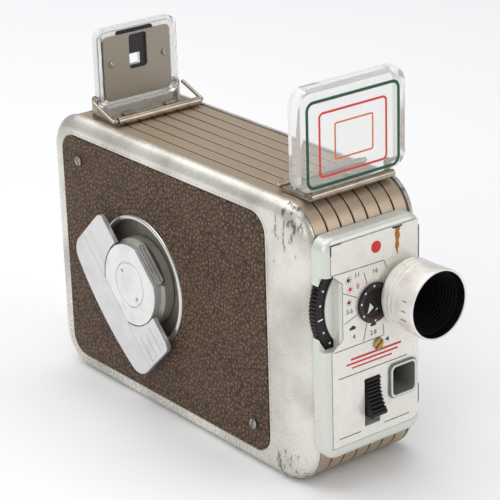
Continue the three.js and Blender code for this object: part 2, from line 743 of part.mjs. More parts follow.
function releaseButton() {
  const { x0, x1, z0, z1 } = RELEASE;
  const side = [
    [-84.2, z0],
    [-84.2, z1],
    [-90.0, z1],
    [-90.6, z1 - 0.8],
  ];
  const ribs = 7;
  const run = z1 - 1.6 - (z0 + 2.4);
  const bulge = (part) => -90.3 - 3.4 * Math.pow(part, 2.2);
  for (let i = 0; i < ribs; i += 1) {
    const top = z1 - 1.4 - (run * i) / ribs;
    const pitch = run / ribs;
    side.push([bulge(i / ribs) - 0.4, top - pitch * 0.3]);
    side.push([bulge((i + 0.5) / ribs) - 0.4, top - pitch * 0.62]);
    side.push([bulge((i + 0.6) / ribs) + 0.15, top - pitch * 0.82]);
  }
  side.push([-94.2, z0 + 2.2], [-94.0, z0 + 1.2], [-92.8, z0 + 0.5], [-90.6, z0]);
  return profileBar("x", side, x0, x1);
}
add("release_button", releaseButton(), BLACK());

function finderTunnel() {
  const { x0, x1, z0, z1 } = FINDER;
  const flange = softSlab(alongY, -89.8, -90.6, x0, x1, z0, z1, 2.5, 0.5, 4);
  const g = 0.8 + GAP;
  const tube = slab(alongY, -90, -79.6, x0 + g, x1 - g, z0 + g, z1 - g, 1.8, 4);
  const mouth = roundedOutline(6.2, 16.5, 34, 44.5, 1.2, 4);
  const throat = roundedOutline(7.8, 14.9, 36, 43, 0.8, 4);
  const bore = loft([{ at: -91, outline: mouth }, { at: -78, outline: throat }], alongY);
  return cut(join(flange, tube), bore);
}
add("finder_tunnel", finderTunnel(), GREY());
add("finder_glass", slab(alongY, -79.3, -78.1, 6.6, 16.1, 34.8, 43.8, 0.8, 3), CLEAR());

// ---- front sight --------------------------------------------------------------------------
const frontGroup = new THREE.Group();
root.add(frontGroup);

function frontSightBase() {
  const cx = FRONT_SIGHT.x;
  const plate = block(cx - 20, cx + 20, -73.2, -58.2, 112.7, BASE_TOP);
  const roll = bar("x", 1.55, cx - 20, cx + 20, -73.9, 114.25, 20);
  const trough = cut(
    bar("x", 1.9, cx - 19.6, cx + 19.6, -56.7, 114.9, 20),
    bar("x", 1.35, cx - 30, cx + 30, -56.7, 114.9, 20),
    block(cx - 30, cx + 30, -60, -53, 115.3, 118),
  );
  const ears = [-1, 1].map((side) => {
    const x = cx + side * 19;
    const body = block(x - 0.7, x + 0.7, -72.9, -70.1, 113.5, FRONT_PIVOT.z);
    return join(body, bar("x", 1.4, x - 0.7, x + 0.7, FRONT_PIVOT.y, FRONT_PIVOT.z, 20));
  });
  const pinHole2 = bar("x", 1.1, cx - 40, cx + 40, FRONT_PIVOT.y, FRONT_PIVOT.z, 20);
  const holes = SIGHT_SCREWS.slice(0, 2).map((s) => bar("z", 1.4, 110, 118, s.x, s.y, 16));
  const bridge = block(cx - 19.6, cx + 19.6, -58.8, -58.0, 112.9, BASE_TOP);
  return cut(join(plate, roll, bridge, trough, ...ears), pinHole2, ...holes);
}
add("front_sight_base", frontSightBase(), NICKEL(), frontGroup);
const rodX = FRONT_SIGHT.x;
add(
  "front_sight_rod",
  softSlab(alongX, rodX - 21.4, rodX + 21.4, -57.7, -55.7, 113.9, 115.9, 0.98, 0.4, 4),
  NICKEL(),
  frontGroup,
);

function sightTray(spec, wall, plateThick, openRear, radius, bottomWall) {
  const x0 = spec.x - spec.half;
  const x1 = spec.x + spec.half;
  const y0 = spec.y;
  const y1 = spec.y + spec.depth;
  const outer = openRear
    ? softSlab(alongY, y1, y0, x0, x1, spec.z0, spec.z1, radius, 1.6, 5)
    : softSlab(alongY, y0, y1, x0, x1, spec.z0, spec.z1, radius, 1.2, 5);
  const low = bottomWall ? spec.z0 + wall : spec.z0 - 5;
  const from = openRear ? y0 + plateThick : y0 - 1;
  const to = openRear ? y1 + 1 : y1 - plateThick;
  const r = radius - 1.5;
  const inner = slab(alongY, from, to, x0 + wall, x1 - wall, low, spec.z1 - wall, r, 5);
  return cut(outer, inner);
}

function frontSightFrame() {
  const tray = sightTray(FRONT_SIGHT, 2.2, 2, true, 5, false);
  const holes = bar("x", 1.1, -40, 40, FRONT_PIVOT.y, FRONT_PIVOT.z, 20);
  return cut(tray, holes);
}
add("front_sight_frame", frontSightFrame(), CLEAR(), frontGroup);
for (const side of [-1, 1]) {
  const near = FRONT_SIGHT.x + side * 17.9;
  const far = FRONT_SIGHT.x + side * 25.4;
  const name = side < 0 ? "front_sight_pin_a" : "front_sight_pin_b";
  const from = Math.min(near, far);
  const to = Math.max(near, far);
  add(name, bar("x", 0.8, from, to, FRONT_PIVOT.y, FRONT_PIVOT.z, 16), STEEL(), frontGroup);
}

// ---- rear sight ---------------------------------------------------------------------------
const rearGroup = new THREE.Group();
root.add(rearGroup);

function rearSightBase() {
  const cx = REAR_SIGHT.x;
  const plate = block(cx - 20.4, cx + 20.4, BAIL.y + 1.4, 63.6, 112.7, BASE_TOP);
  const lip = block(cx - 20.4, cx + 20.4, BAIL.y - 0.6, BAIL.y + 1.6, 112.7, 113.5);
  const roll = bar("x", 1.7, cx - 20.4, cx + 20.4, BAIL.y, BAIL.z, 24);
  const bore = bar("x", 1.1, cx - 30, cx + 30, BAIL.y, BAIL.z, 20);
  const ears = [-1, 1].map((side) => {
    const x = cx + side * 20.4;
    const body = block(x - 0.5, x + 0.5, 59.3, 62.7, 112.9, REAR_PIVOT.z);
    return join(body, bar("x", 1.7, x - 0.5, x + 0.5, REAR_PIVOT.y, REAR_PIVOT.z, 20));
  });
  const pins = bar("x", 1.1, -40, 40, REAR_PIVOT.y, REAR_PIVOT.z, 20);
  const holes = SIGHT_SCREWS.slice(2).map((s) => bar("z", 1.4, 110, 118, s.x, s.y, 16));
  return cut(join(plate, lip, roll, ...ears), bore, pins, ...holes);
}
add("rear_sight_base", rearSightBase(), NICKEL(), rearGroup);

const PEEP = { x0: -3.4, x1: 5.4, z0: 130.2, z1: 144.7 };
const WINDOW = { x0: -2.8, x1: 3, z0: 131.3, z1: 136.3 }; // square hole in the eyepiece and its mask
function rearSightFrame() {
  const tray = sightTray(REAR_SIGHT, 1.5, 1.6, false, 4.2, true);
  const window = block(WINDOW.x0, WINDOW.x1, 55, 66, WINDOW.z0, WINDOW.z1);
  const pins = bar("x", 1.1, -40, 40, REAR_PIVOT.y, REAR_PIVOT.z, 20);
  const rivets = [-13.2, 13.2].map((x) => bar("y", 0.9, 50, 70, REAR_SIGHT.x + x, 134, 16));
  return cut(tray, window, pins, ...rivets);
}
add("rear_sight_frame", rearSightFrame(), CLEAR(), rearGroup);

function rearSightPlate() {
  const cx = REAR_SIGHT.x;
  const sheet = slab(alongY, 58.7, 59.6, cx - 16.6, cx + 16.6, 118.6, 145.6, 2.2, 4);
  const peep = slab(alongY, 50, 70, PEEP.x0, PEEP.x1, PEEP.z0, PEEP.z1, 1.4, 4);
  const rivets = [-13.2, 13.2].map((x) => bar("y", 0.9, 50, 70, cx + x, 134, 16));
  const notch = [-1, 1].map((side) => {
    const edge = cx + side * 16.6;
    return block(Math.min(edge, edge - side * 0.1), Math.max(edge, edge + side), 50, 70, 118, 119);
  });
  return cut(sheet, peep, ...rivets, ...notch);
}
add("rear_sight_plate", rearSightPlate(), GREY(), rearGroup);

function rearSightMask() {
  const cx = REAR_SIGHT.x;
  const sheet = slab(alongY, 59.9, 60.8, cx - 9, cx + 9, 124, 147, 1.5, 3);
  return cut(sheet, block(WINDOW.x0, WINDOW.x1, 50, 70, WINDOW.z0, WINDOW.z1));
}
add("rear_sight_mask", rearSightMask(), BLACK(), rearGroup);
[-13.2, 13.2].forEach((x, i) => {
  const centre = REAR_SIGHT.x + x;
  const head = bar("y", 1.2, 58.0, 58.4, centre, 134, 16);
  const shank = bar("y", 0.6, 58.3, 62.5, centre, 134, 12);
  add(i === 0 ? "sight_rivet_a" : "sight_rivet_b", join(head, shank), ALUMINIUM(), rearGroup);
});
for (const side of [-1, 1]) {
  const near = REAR_SIGHT.x + side * 18.2;
  const far = REAR_SIGHT.x + side * 21.1;
  const name = side < 0 ? "rear_sight_pin_a" : "rear_sight_pin_b";
  const from = Math.min(near, far);
  const to = Math.max(near, far);
  add(name, bar("x", 0.8, from, to, REAR_PIVOT.y, REAR_PIVOT.z, 16), STEEL(), rearGroup);
}

// U-shaped wire: an axle in the rolled edge and an arm up to each side of the frame.
function bailWire() {
  const cx = REAR_SIGHT.x;
  const half = 22.3;
  const length = Math.hypot(BAIL.reach, BAIL.rise);
  const axle = bar("x", BAIL.r, cx - half - 0.7, cx + half + 0.7, BAIL.y, BAIL.z, 16);
  const arms = [-1, 1].map((side) => {
    const arm = bar("y", BAIL.r, -0.8, length, 0, 0, 16);
    arm.rotateX(Math.atan2(BAIL.rise, BAIL.reach));
    return arm.translate(cx + side * half, BAIL.y, BAIL.z);
  });
  return join(axle, ...arms);
}
add("rear_sight_wire", bailWire(), NICKEL(), rearGroup);

for (const s of SIGHT_SCREWS) {
  add(s.name, screw("z", 2.9, 1.1, BASE_TOP + GAP, BASE_TOP + 1.4, 110, s.x, s.y, 0.4), STEEL());
}

// ---- clockwork and film transport ---------------------------------------------------------
function mechanismPlate() {
  const sheet = slab(alongX, -4, -2.6, -50, REAR - 3.4, 3.3, HEIGHT - 3.3, 12.9, 5);
  const bushRoom = bar("z", BUSH.r + 2.4, -1, 9.9, BUSH.x, BUSH.y, 24);
  const barrelHole = bar("x", 5, -10, 0, WELL.y, WELL.z, 24);
  return cut(sheet, barrelHole, bushRoom);
}
add("mechanism_plate", mechanismPlate(), STEEL());

const barrelDrum = bar("x", 22.5, -23.2, -10, WELL.y, WELL.z, 40);
const BARREL_TEETH = 48;
const IDLER_TEETH = 19;
const PITCH_R = 25; // pitch radius of the barrel gear
const IDLER_R = (PITCH_R * IDLER_TEETH) / BARREL_TEETH;
const gearX = [-10.2, -7.6];
const barrelGear = toothed(
  "x", PITCH_R + 0.75, PITCH_R - 1.1, BARREL_TEETH, ...gearX, WELL.y, WELL.z, 0.52,
);
const barrelBore = bar("x", 4.0, -30, 0, WELL.y, WELL.z, 24);
add("spring_barrel", cut(join(barrelDrum, barrelGear), barrelBore), BRASS());

const IDLER = { y: WELL.y - PITCH_R - IDLER_R - 0.1, z: WELL.z };
const idlerGear = toothed(
  "x",
  IDLER_R + 0.75,
  IDLER_R - 1.1,
  IDLER_TEETH,
  ...gearX,
  IDLER.y,
  IDLER.z,
  0.52,
  Math.PI / 2 - (4.5 * 2 * Math.PI) / IDLER_TEETH,
);
const idlerShaft = bar("x", 1.5, -16, -5, IDLER.y, IDLER.z, 16);
add("idler_gear", join(idlerGear, idlerShaft), BRASS());

function spool() {
  return turned(
    "x",
    [
      [2.6, 3],
      [SPOOL_R, 3],
      [SPOOL_R, 4],
      [8, 4],
      [8, 20],
      [SPOOL_R, 20],
      [SPOOL_R, 21],
      [2.6, 21],
    ],
    0,
    0,
    32,
  );
}
add("feed_spool", spool().translate(0, SPOOLS.y, SPOOLS.high), BLACK());
add("takeup_spool", spool().translate(0, SPOOLS.y, SPOOLS.low), BLACK());
add("feed_spindle", bar("x", 2.2, -2.3, 22, SPOOLS.y, SPOOLS.high, 16), STEEL());
add("takeup_spindle", bar("x", 2.2, -2.3, 22, SPOOLS.y, SPOOLS.low, 16), STEEL());

function filmGate() {
  const frame = slab(alongY, -60, -57.6, 3, 20.6, 56, 94, 2, 3);
  const foot = block(-2.3, 4, -60, -57.6, 58, 92);
  const aperture = block(LENS.x - 2.4, LENS.x + 2.4, -70, -50, LENS.z - 1.8, LENS.z + 1.8);
  const claw = block(17.4, 18.6, -70, -50, LENS.z - 8, LENS.z - 3);
  return cut(join(frame, foot), aperture, claw);
}
add("film_gate", filmGate(), STEEL());
add("pressure_plate", slab(alongY, -57.3, -56.1, 5, 18.6, 62, 88, 1.5, 3), STEEL());

function shutterDisc() {
  const centre = { x: 8, z: 66 };
  const disc = bar("y", 11.4, -64.6, -63.8, centre.x, centre.z, 40);
  const sector = block(0, 9.8, -70, -60, 0, 9.8).rotateY(0.35).translate(centre.x, 0, centre.z);
  const open = cut(sector, bar("y", 3.4, -80, -50, centre.x, centre.z, 20));
  const shaft = bar("y", 1.3, -70, -60.4, centre.x, centre.z, 16);
  return join(cut(disc, open), shaft);
}
add("shutter_disc", shutterDisc(), BLACK());
const clawBody = join(
  block(17.6, 18.4, -62.8, -57.4, LENS.z - 6.0, LENS.z - 5.0),
  block(17.4, 18.6, -63.6, -61, 60, LENS.z - 4.6),
);
add("claw", clawBody, STEEL());

// ---- tripod bush --------------------------------------------------------------------------
const bushBody = join(
  bar("z", BUSH.r, 0.2, 2.9, BUSH.x, BUSH.y, 32),
  bar("z", BUSH.r + 2, 3.3, 9.5, BUSH.x, BUSH.y, 32),
  bar("z", BUSH.r - 0.2, 2.8, 3.4, BUSH.x, BUSH.y, 32),
);
add("tripod_bush", cut(bushBody, bar("z", 3.1, -1, 7.6, BUSH.x, BUSH.y, 24)), STEEL());

export default root;
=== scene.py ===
"""Clockwork 8 mm cine camera: the fine surface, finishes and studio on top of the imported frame."""

import logging
import math
from contextlib import contextmanager
from dataclasses import dataclass, field
from enum import Enum
from typing import Callable, Iterator, Sequence

import bmesh
import bpy
from mathutils import Matrix, Vector


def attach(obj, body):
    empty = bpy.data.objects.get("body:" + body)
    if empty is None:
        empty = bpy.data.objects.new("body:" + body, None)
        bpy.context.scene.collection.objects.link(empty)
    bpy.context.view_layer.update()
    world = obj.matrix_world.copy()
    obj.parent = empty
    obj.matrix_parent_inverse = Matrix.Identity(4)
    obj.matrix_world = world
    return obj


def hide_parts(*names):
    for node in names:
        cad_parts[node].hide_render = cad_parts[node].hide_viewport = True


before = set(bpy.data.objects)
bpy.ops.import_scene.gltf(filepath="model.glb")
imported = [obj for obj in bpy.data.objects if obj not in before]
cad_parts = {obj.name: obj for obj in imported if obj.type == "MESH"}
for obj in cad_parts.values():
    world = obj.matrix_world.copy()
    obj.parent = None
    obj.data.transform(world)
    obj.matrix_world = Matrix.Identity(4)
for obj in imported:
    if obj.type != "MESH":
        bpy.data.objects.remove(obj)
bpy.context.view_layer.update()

MM = 0.001
CORE = 0.02  # radius in mm where a turned profile begins, just off the axis, so that it can be resized
SHARP = 50  # degrees: soften breaks only edges sharper than this on most pieces
CREASE = 40  # degrees: weigh keeps edges sharper than this on most pieces
log = logging.getLogger("cine_camera")

Pair = tuple[float, float]


# ---- modelling helpers ---------------------------------------------------------------------
class Axis(Enum):
    """A world axis that a piece is built along."""

    X = 0
    Y = 1
    Z = 2

    @property
    def way(self) -> Vector:
        """The unit vector along the axis."""
        return Vector([1.0 if i == self.value else 0.0 for i in range(3)])

    @property
    def turn(self) -> tuple[float, float, float]:
        """The rotation that brings a primitive's own Z onto the axis."""
        return {0: (0.0, math.pi / 2, 0.0), 1: (math.pi / 2, 0.0, 0.0), 2: (0.0, 0.0, 0.0)}[self.value]

    def point(self, along: float, a: float, b: float) -> Vector:
        """A point from its place along the axis and its two other coordinates, in mm.

        Args:
            along: Place along the axis.
            a: First of the other two coordinates, in X, Y, Z order.
            b: Second of the other two coordinates.

        Returns:
            The point in metres.
        """
        rest = iter((a, b))
        return Vector([along if i == self.value else next(rest) for i in range(3)]) * MM

    def across(self, a: float, b: float) -> tuple[float, float, float]:
        """Scale factors that leave the axis alone.

        Args:
            a: Factor on the first of the other two coordinates.
            b: Factor on the second.

        Returns:
            The three factors.
        """
        rest = iter((a, b))
        return tuple(1.0 if i == self.value else next(rest) for i in range(3))


@contextmanager
def editing(obj: bpy.types.Object) -> Iterator[None]:
    """Edit mode on one object, left again at the end.

    Args:
        obj: The mesh to edit.

    Yields:
        Nothing.
    """
    bpy.context.view_layer.objects.active = obj
    obj.select_set(True)
    bpy.ops.object.mode_set(mode="EDIT")
    try:
        yield
    finally:
        bpy.ops.object.mode_set(mode="OBJECT")


def clear_selection() -> None:
    """Deselects every object."""
    bpy.ops.object.select_all(action="DESELECT")


def settle(name: str) -> bpy.types.Object:
    """Names the new active object and applies its place, turn and size.

    Args:
        name: The piece's name.

    Returns:
        The object.
    """
    obj = bpy.context.view_layer.objects.active
    obj.name = name
    obj.data.name = name
    bpy.ops.object.transform_apply(location=True, rotation=True, scale=True)
    return obj


def pick(obj: bpy.types.Object, mode: str, test: Callable[[object], bool]) -> int:
    """Selects the elements of the edited mesh that pass a test, and nothing else.

    Args:
        obj: The mesh in edit mode.
        mode: VERT, EDGE or FACE.
        test: Takes an element and says if it is wanted.

    Returns:
        How many were selected.
    """
    bpy.ops.mesh.select_mode(type=mode)
    bpy.ops.mesh.select_all(action="DESELECT")
    mesh = bmesh.from_edit_mesh(obj.data)
    items = {"VERT": mesh.verts, "EDGE": mesh.edges, "FACE": mesh.faces}[mode]
    count = 0
    for item in items:
        if test(item):
            item.select_set(True)
            count += 1
    mesh.select_flush_mode()
    bmesh.update_edit_mesh(obj.data)
    return count


def tidy(obj: bpy.types.Object) -> None:
    """Merges doubled points and turns every face outwards.

    Args:
        obj: The mesh, in object mode.
    """
    with editing(obj):
        bpy.ops.mesh.select_all(action="SELECT")
        bpy.ops.mesh.remove_doubles(threshold=2e-6)
        bpy.ops.mesh.normals_make_consistent(inside=False)


def apply_modifier(obj: bpy.types.Object, kind: str, **settings: object) -> None:
    """Adds a modifier, sets it and applies it.

    Args:
        obj: The mesh.
        kind: The modifier's type.
        **settings: Its properties.
    """
    clear_selection()
    bpy.context.view_layer.objects.active = obj
    obj.select_set(True)
    bpy.ops.object.modifier_add(type=kind)
    modifier = obj.modifiers[-1]
    for key, value in settings.items():
        setattr(modifier, key, value)
    bpy.ops.object.modifier_apply(modifier=modifier.name)


def carve(obj: bpy.types.Object, *tools: bpy.types.Object, how: str = "DIFFERENCE") -> None:
    """Cuts or joins other solids into one, and removes them.

    Args:
        obj: The solid that stays.
        *tools: The solids used up.
        how: DIFFERENCE, UNION or INTERSECT.
    """
    for tool in tools:
        apply_modifier(obj, "BOOLEAN", operation=how, object=tool, solver="EXACT")
        bpy.data.objects.remove(tool, do_unlink=True)


def soften(obj: bpy.types.Object, width: float, steps: int = 2, angle: float = 35.0) -> None:
    """Breaks the sharp edges of a solid and smooths it.

    Args:
        obj: The solid.
        width: Width of the broken edge in mm.
        steps: Segments across it.
        angle: Edges sharper than this many degrees are broken.
    """
    if width > 0:
        apply_modifier(
            obj, "BEVEL", width=width * MM, segments=steps, limit_method="ANGLE",
            angle_limit=math.radians(angle), use_clamp_overlap=True,
        )
    smooth(obj)


def smooth(obj: bpy.types.Object, angle: float = 32.0) -> None:
    """Shades a mesh smooth except at sharp edges.

    Args:
        obj: The mesh.
        angle: Edges sharper than this many degrees stay sharp.
    """
    clear_selection()
    bpy.context.view_layer.objects.active = obj
    obj.select_set(True)
    bpy.ops.object.shade_smooth_by_angle(angle=math.radians(angle))


def block(name: str, low: Sequence[float], high: Sequence[float]) -> bpy.types.Object:
    """A box between two corners, in mm.

    Args:
        name: The piece's name.
        low: Lowest corner.
        high: Highest corner.

    Returns:
        The box.
    """
    clear_selection()
    middle = [(a + b) / 2 * MM for a, b in zip(low, high)]
    size = [(b - a) * MM for a, b in zip(low, high)]
    bpy.ops.mesh.primitive_cube_add(size=1.0, location=middle)
    bpy.context.object.scale = size
    return settle(name)


def rounded(
    name: str, axis: Axis, low: Sequence[float], high: Sequence[float], corner: float, steps: int = 8,
) -> bpy.types.Object:
    """A box whose four edges along one axis are rounded.

    Args:
        name: The piece's name.
        axis: The axis that the rounded edges follow.
        low: Lowest corner in mm.
        high: Highest corner in mm.
        corner: Corner radius in mm.
        steps: Segments in each corner.

    Returns:
        The solid.
    """
    obj = block(name, low, high)
    with editing(obj):
        pick(obj, "EDGE", lambda e: abs((e.verts[0].co - e.verts[1].co).normalized().dot(axis.way)) > 0.99)
        bpy.ops.mesh.bevel(offset=corner * MM, segments=steps, affect="EDGES")
    return obj


def turned(
    name: str, axis: Axis, centre: Pair, profile: Sequence[Pair], sides: int = 96,
) -> bpy.types.Object:
    """A turned body: a ring is extruded along the axis and resized at every step.

    Args:
        name: The piece's name.
        axis: The axis of turning.
        centre: The axis' two other coordinates, in mm.
        profile: Pairs of radius and place along the axis, in mm. One that ends where it starts
            makes a ring; any other is closed by a flat cap at each end.
        sides: Segments round the body.

    Returns:
        The solid.
    """
    clear_selection()
    radius, along = profile[0]
    place = axis.point(along, *centre)
    bpy.ops.mesh.primitive_circle_add(vertices=sides, radius=radius * MM, location=place, rotation=axis.turn)
    obj = settle(name)
    with editing(obj):
        bpy.ops.mesh.select_mode(type="EDGE")
        bpy.ops.mesh.select_all(action="SELECT")
        for (r0, h0), (r1, h1) in zip(profile, profile[1:]):
            step = axis.way * (h1 - h0) * MM
            bpy.ops.mesh.extrude_region_move(TRANSFORM_OT_translate={"value": step})
            ratio = r1 / r0
            if abs(ratio - 1.0) > 1e-7:
                middle = axis.point(h1, *centre)
                bpy.ops.transform.resize(value=axis.across(ratio, ratio), center_override=middle)
        bpy.ops.mesh.select_all(action="SELECT")
        bpy.ops.mesh.remove_doubles(threshold=2e-6)
        bpy.ops.mesh.select_mode(type="VERT")
        bpy.ops.mesh.select_all(action="DESELECT")
        bpy.ops.mesh.select_non_manifold()
        if obj.data.total_vert_sel:
            bpy.ops.mesh.fill_holes(sides=0)
        bpy.ops.mesh.select_all(action="SELECT")
        bpy.ops.mesh.normals_make_consistent(inside=False)
    return obj


def rod(
    name: str, axis: Axis, centre: Pair, radius: float, start: float, end: float, sides: int = 48,
) -> bpy.types.Object:
    """A plain round bar.

    Args:
        name: The piece's name.
        axis: The axis it lies along.
        centre: The axis' two other coordinates, in mm.
        radius: Its radius in mm.
        start: One end along the axis.
        end: The other end.
        sides: Segments round it.

    Returns:
        The bar.
    """
    return turned(name, axis, centre, [(radius, start), (radius, end)], sides)


def outlined(name: str, axis: Axis, start: float, end: float, points: Sequence[Pair]) -> bpy.types.Object:
    """A plate of any outline: one point is extruded round the outline, filled and thickened.

    Args:
        name: The piece's name.
        axis: The axis of its thickness.
        start: One face along the axis, in mm.
        end: The other face.
        points: The outline's corners in the two other coordinates.

    Returns:
        The plate.
    """
    clear_selection()
    bpy.ops.mesh.primitive_plane_add(size=0.001, location=axis.point(start, *points[0]))
    obj = settle(name)
    with editing(obj):
        bpy.ops.mesh.select_mode(type="VERT")
        bpy.ops.mesh.select_all(action="SELECT")
        bpy.ops.mesh.merge(type="CENTER")
        for here, there in zip(points, points[1:]):
            step = axis.point(start, *there) - axis.point(start, *here)
            bpy.ops.mesh.extrude_region_move(TRANSFORM_OT_translate={"value": step})
        bpy.ops.mesh.select_all(action="SELECT")
        bpy.ops.mesh.edge_face_add()
        bpy.ops.mesh.select_all(action="SELECT")
        bpy.ops.mesh.extrude_region_move(TRANSFORM_OT_translate={"value": axis.way * (end - start) * MM})
        bpy.ops.mesh.select_all(action="SELECT")
        bpy.ops.mesh.normals_make_consistent(inside=False)
    return obj


def swept(name: str, points: Sequence[Sequence[float]], radius: float, sides: int = 16) -> bpy.types.Object:
    """A round wire through points, made from a curve and turned into a mesh.

    Args:
        name: The piece's name.
        points: The wire's centre line in mm.
        radius: The wire's radius in mm.
        sides: Segments round it.

    Returns:
        The wire.
    """
    clear_selection()
    bpy.ops.curve.primitive_nurbs_path_add()
    curve = bpy.context.object
    curve.name = name
    data = curve.data
    data.splines.clear()
    spline = data.splines.new("POLY")
    spline.points.add(len(points) - 1)
    for slot, place in zip(spline.points, points):
        slot.co = (*[v * MM for v in place], 1.0)
    data.bevel_depth = radius * MM
    data.bevel_resolution = max(1, sides // 4 - 1)
    data.use_fill_caps = True
    curve.location = (0, 0, 0)
    bpy.ops.object.convert(target="MESH")
    obj = bpy.context.object
    obj.name = name
    tidy(obj)
    return obj


def merged(name: str, parts: Sequence[bpy.types.Object]) -> bpy.types.Object:
    """Puts several meshes into one object, as they are.

    Args:
        name: The piece's name.
        parts: The meshes.

    Returns:
        The one object.
    """
    clear_selection()
    for part in parts:
        part.select_set(True)
    bpy.context.view_layer.objects.active = parts[0]
    if len(parts) > 1:
        bpy.ops.object.join()
    obj = bpy.context.object
    obj.name = name
    obj.data.name = name
    return obj


def copied(obj: bpy.types.Object, name: str, matrix: Matrix) -> bpy.types.Object:
    """A copy with its own mesh, moved by a matrix that is applied to the mesh.

    Args:
        obj: The piece to copy.
        name: The copy's name.
        matrix: The move, in metres.

    Returns:
        The copy.
    """
    twin = obj.copy()
    twin.data = obj.data.copy()
    bpy.context.scene.collection.objects.link(twin)
    twin.name = name
    twin.data.transform(matrix)
    return twin


def refined(node: str, name: str, width: float = 0.25, steps: int = 2) -> bpy.types.Object:
    """A finer copy of a small frame node: merged, its edges broken, shaded smooth.

    Args:
        node: The frame node.
        name: The copy's name.
        width: Width of the broken edges in mm.
        steps: Segments across them.

    Returns:
        The copy.
    """
    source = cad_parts[node]
    twin = copied(source, name, Matrix.Identity(4))
    twin.parent = None
    tidy(twin)
    with editing(twin):
        bpy.ops.mesh.select_all(action="SELECT")
        bpy.ops.mesh.dissolve_limited(angle_limit=math.radians(1.0))
    soften(twin, width, steps, 40.0)
    return twin


# ---- finishes ------------------------------------------------------------------------------
def linear(hex_colour: str) -> tuple[float, float, float, float]:
    """Turns an sRGB hex colour into the linear RGBA that shaders take.

    Args:
        hex_colour: Six hex digits.

    Returns:
        Linear red, green, blue and 1.
    """
    parts = [int(hex_colour[i : i + 2], 16) / 255 for i in (0, 2, 4)]
    return (*[p / 12.92 if p <= 0.04045 else ((p + 0.055) / 1.055) ** 2.4 for p in parts], 1.0)


def add_node(
    tree: bpy.types.NodeTree, kind: str, links: dict | None = None, **settings: object,
) -> bpy.types.Node:
    """Adds a shader node with its settings and links.

    Args:
        tree: The material's node tree.
        kind: The node type.
        links: Input name or number to a value, or to the output socket that feeds it.
        **settings: The node's own properties.

    Returns:
        The node.
    """
    made = tree.nodes.new(kind)
    for key, value in settings.items():
        setattr(made, key, value)
    for key, value in (links or {}).items():
        if isinstance(value, bpy.types.NodeSocket):
            tree.links.new(value, made.inputs[key])
        else:
            made.inputs[key].default_value = value
    return made


# Inputs of the mix node that colours use; its names repeat for every kind of value.
FACTOR, FIRST, SECOND = 0, 6, 7


@dataclass(frozen=True)
class Finish:
    """What every surface starts from: a shader with a base colour and a slight unevenness."""

    title: str
    colour: str
    roughness: float = 0.5
    metallic: float = 0.0
    grain_mm: float = 1.0
    mottle: float = 0.04
    bump: float = 0.0
    shine: float = 0.5

    def build(self) -> bpy.types.Material:
        """Makes the material, or returns the one already made.

        Returns:
            The material.
        """
        if self.title in bpy.data.materials:
            return bpy.data.materials[self.title]
        material = bpy.data.materials.new(self.title)
        material.use_nodes = True
        tree = material.node_tree
        tree.nodes.clear()
        shader = add_node(tree, "ShaderNodeBsdfPrincipled")
        shader.inputs["Base Color"].default_value = linear(self.colour)
        shader.inputs["Roughness"].default_value = self.roughness
        shader.inputs["Metallic"].default_value = self.metallic
        shader.inputs["Specular IOR Level"].default_value = self.shine
        add_node(tree, "ShaderNodeOutputMaterial", {"Surface": shader.outputs[0]})
        place = add_node(tree, "ShaderNodeTexCoord").outputs["Object"]
        self.dress(tree, shader, place)
        return material

    def dress(
        self, tree: bpy.types.NodeTree, shader: bpy.types.Node, place: bpy.types.NodeSocket,
    ) -> None:
        """Adds the surface's own pattern. The plain one is a fine mottle and a faint bump.

        Args:
            tree: The node tree.
            shader: Its principled shader.
            place: Object coordinates in metres.
        """
        links = {"Vector": place, "Scale": 1000.0 / self.grain_mm, "Detail": 4.0}
        noise = add_node(tree, "ShaderNodeTexNoise", links).outputs["Fac"]
        shade = add_node(
            tree, "ShaderNodeMapRange",
            {
                "Value": noise, "From Min": 0.3, "From Max": 0.7, "To Min": 1.0 - self.mottle,
                "To Max": 1.0 + self.mottle,
            },
        ).outputs[0]
        tint = add_node(
            tree, "ShaderNodeVectorMath", {0: linear(self.colour)[:3], 1: shade}, operation="MULTIPLY",
        )
        tree.links.new(tint.outputs[0], shader.inputs["Base Color"])
        rough = add_node(
            tree, "ShaderNodeMapRange",
            {
                "Value": noise, "From Min": 0.3, "From Max": 0.7, "To Min": self.roughness * 0.85,
                "To Max": min(1.0, self.roughness * 1.15),
            },
        ).outputs[0]
        tree.links.new(rough, shader.inputs["Roughness"])
        if self.bump > 0:
            links = {"Height": noise, "Strength": self.bump, "Distance": 0.0001}
            relief = add_node(tree, "ShaderNodeBump", links)
            tree.links.new(relief.outputs[0], shader.inputs["Normal"])


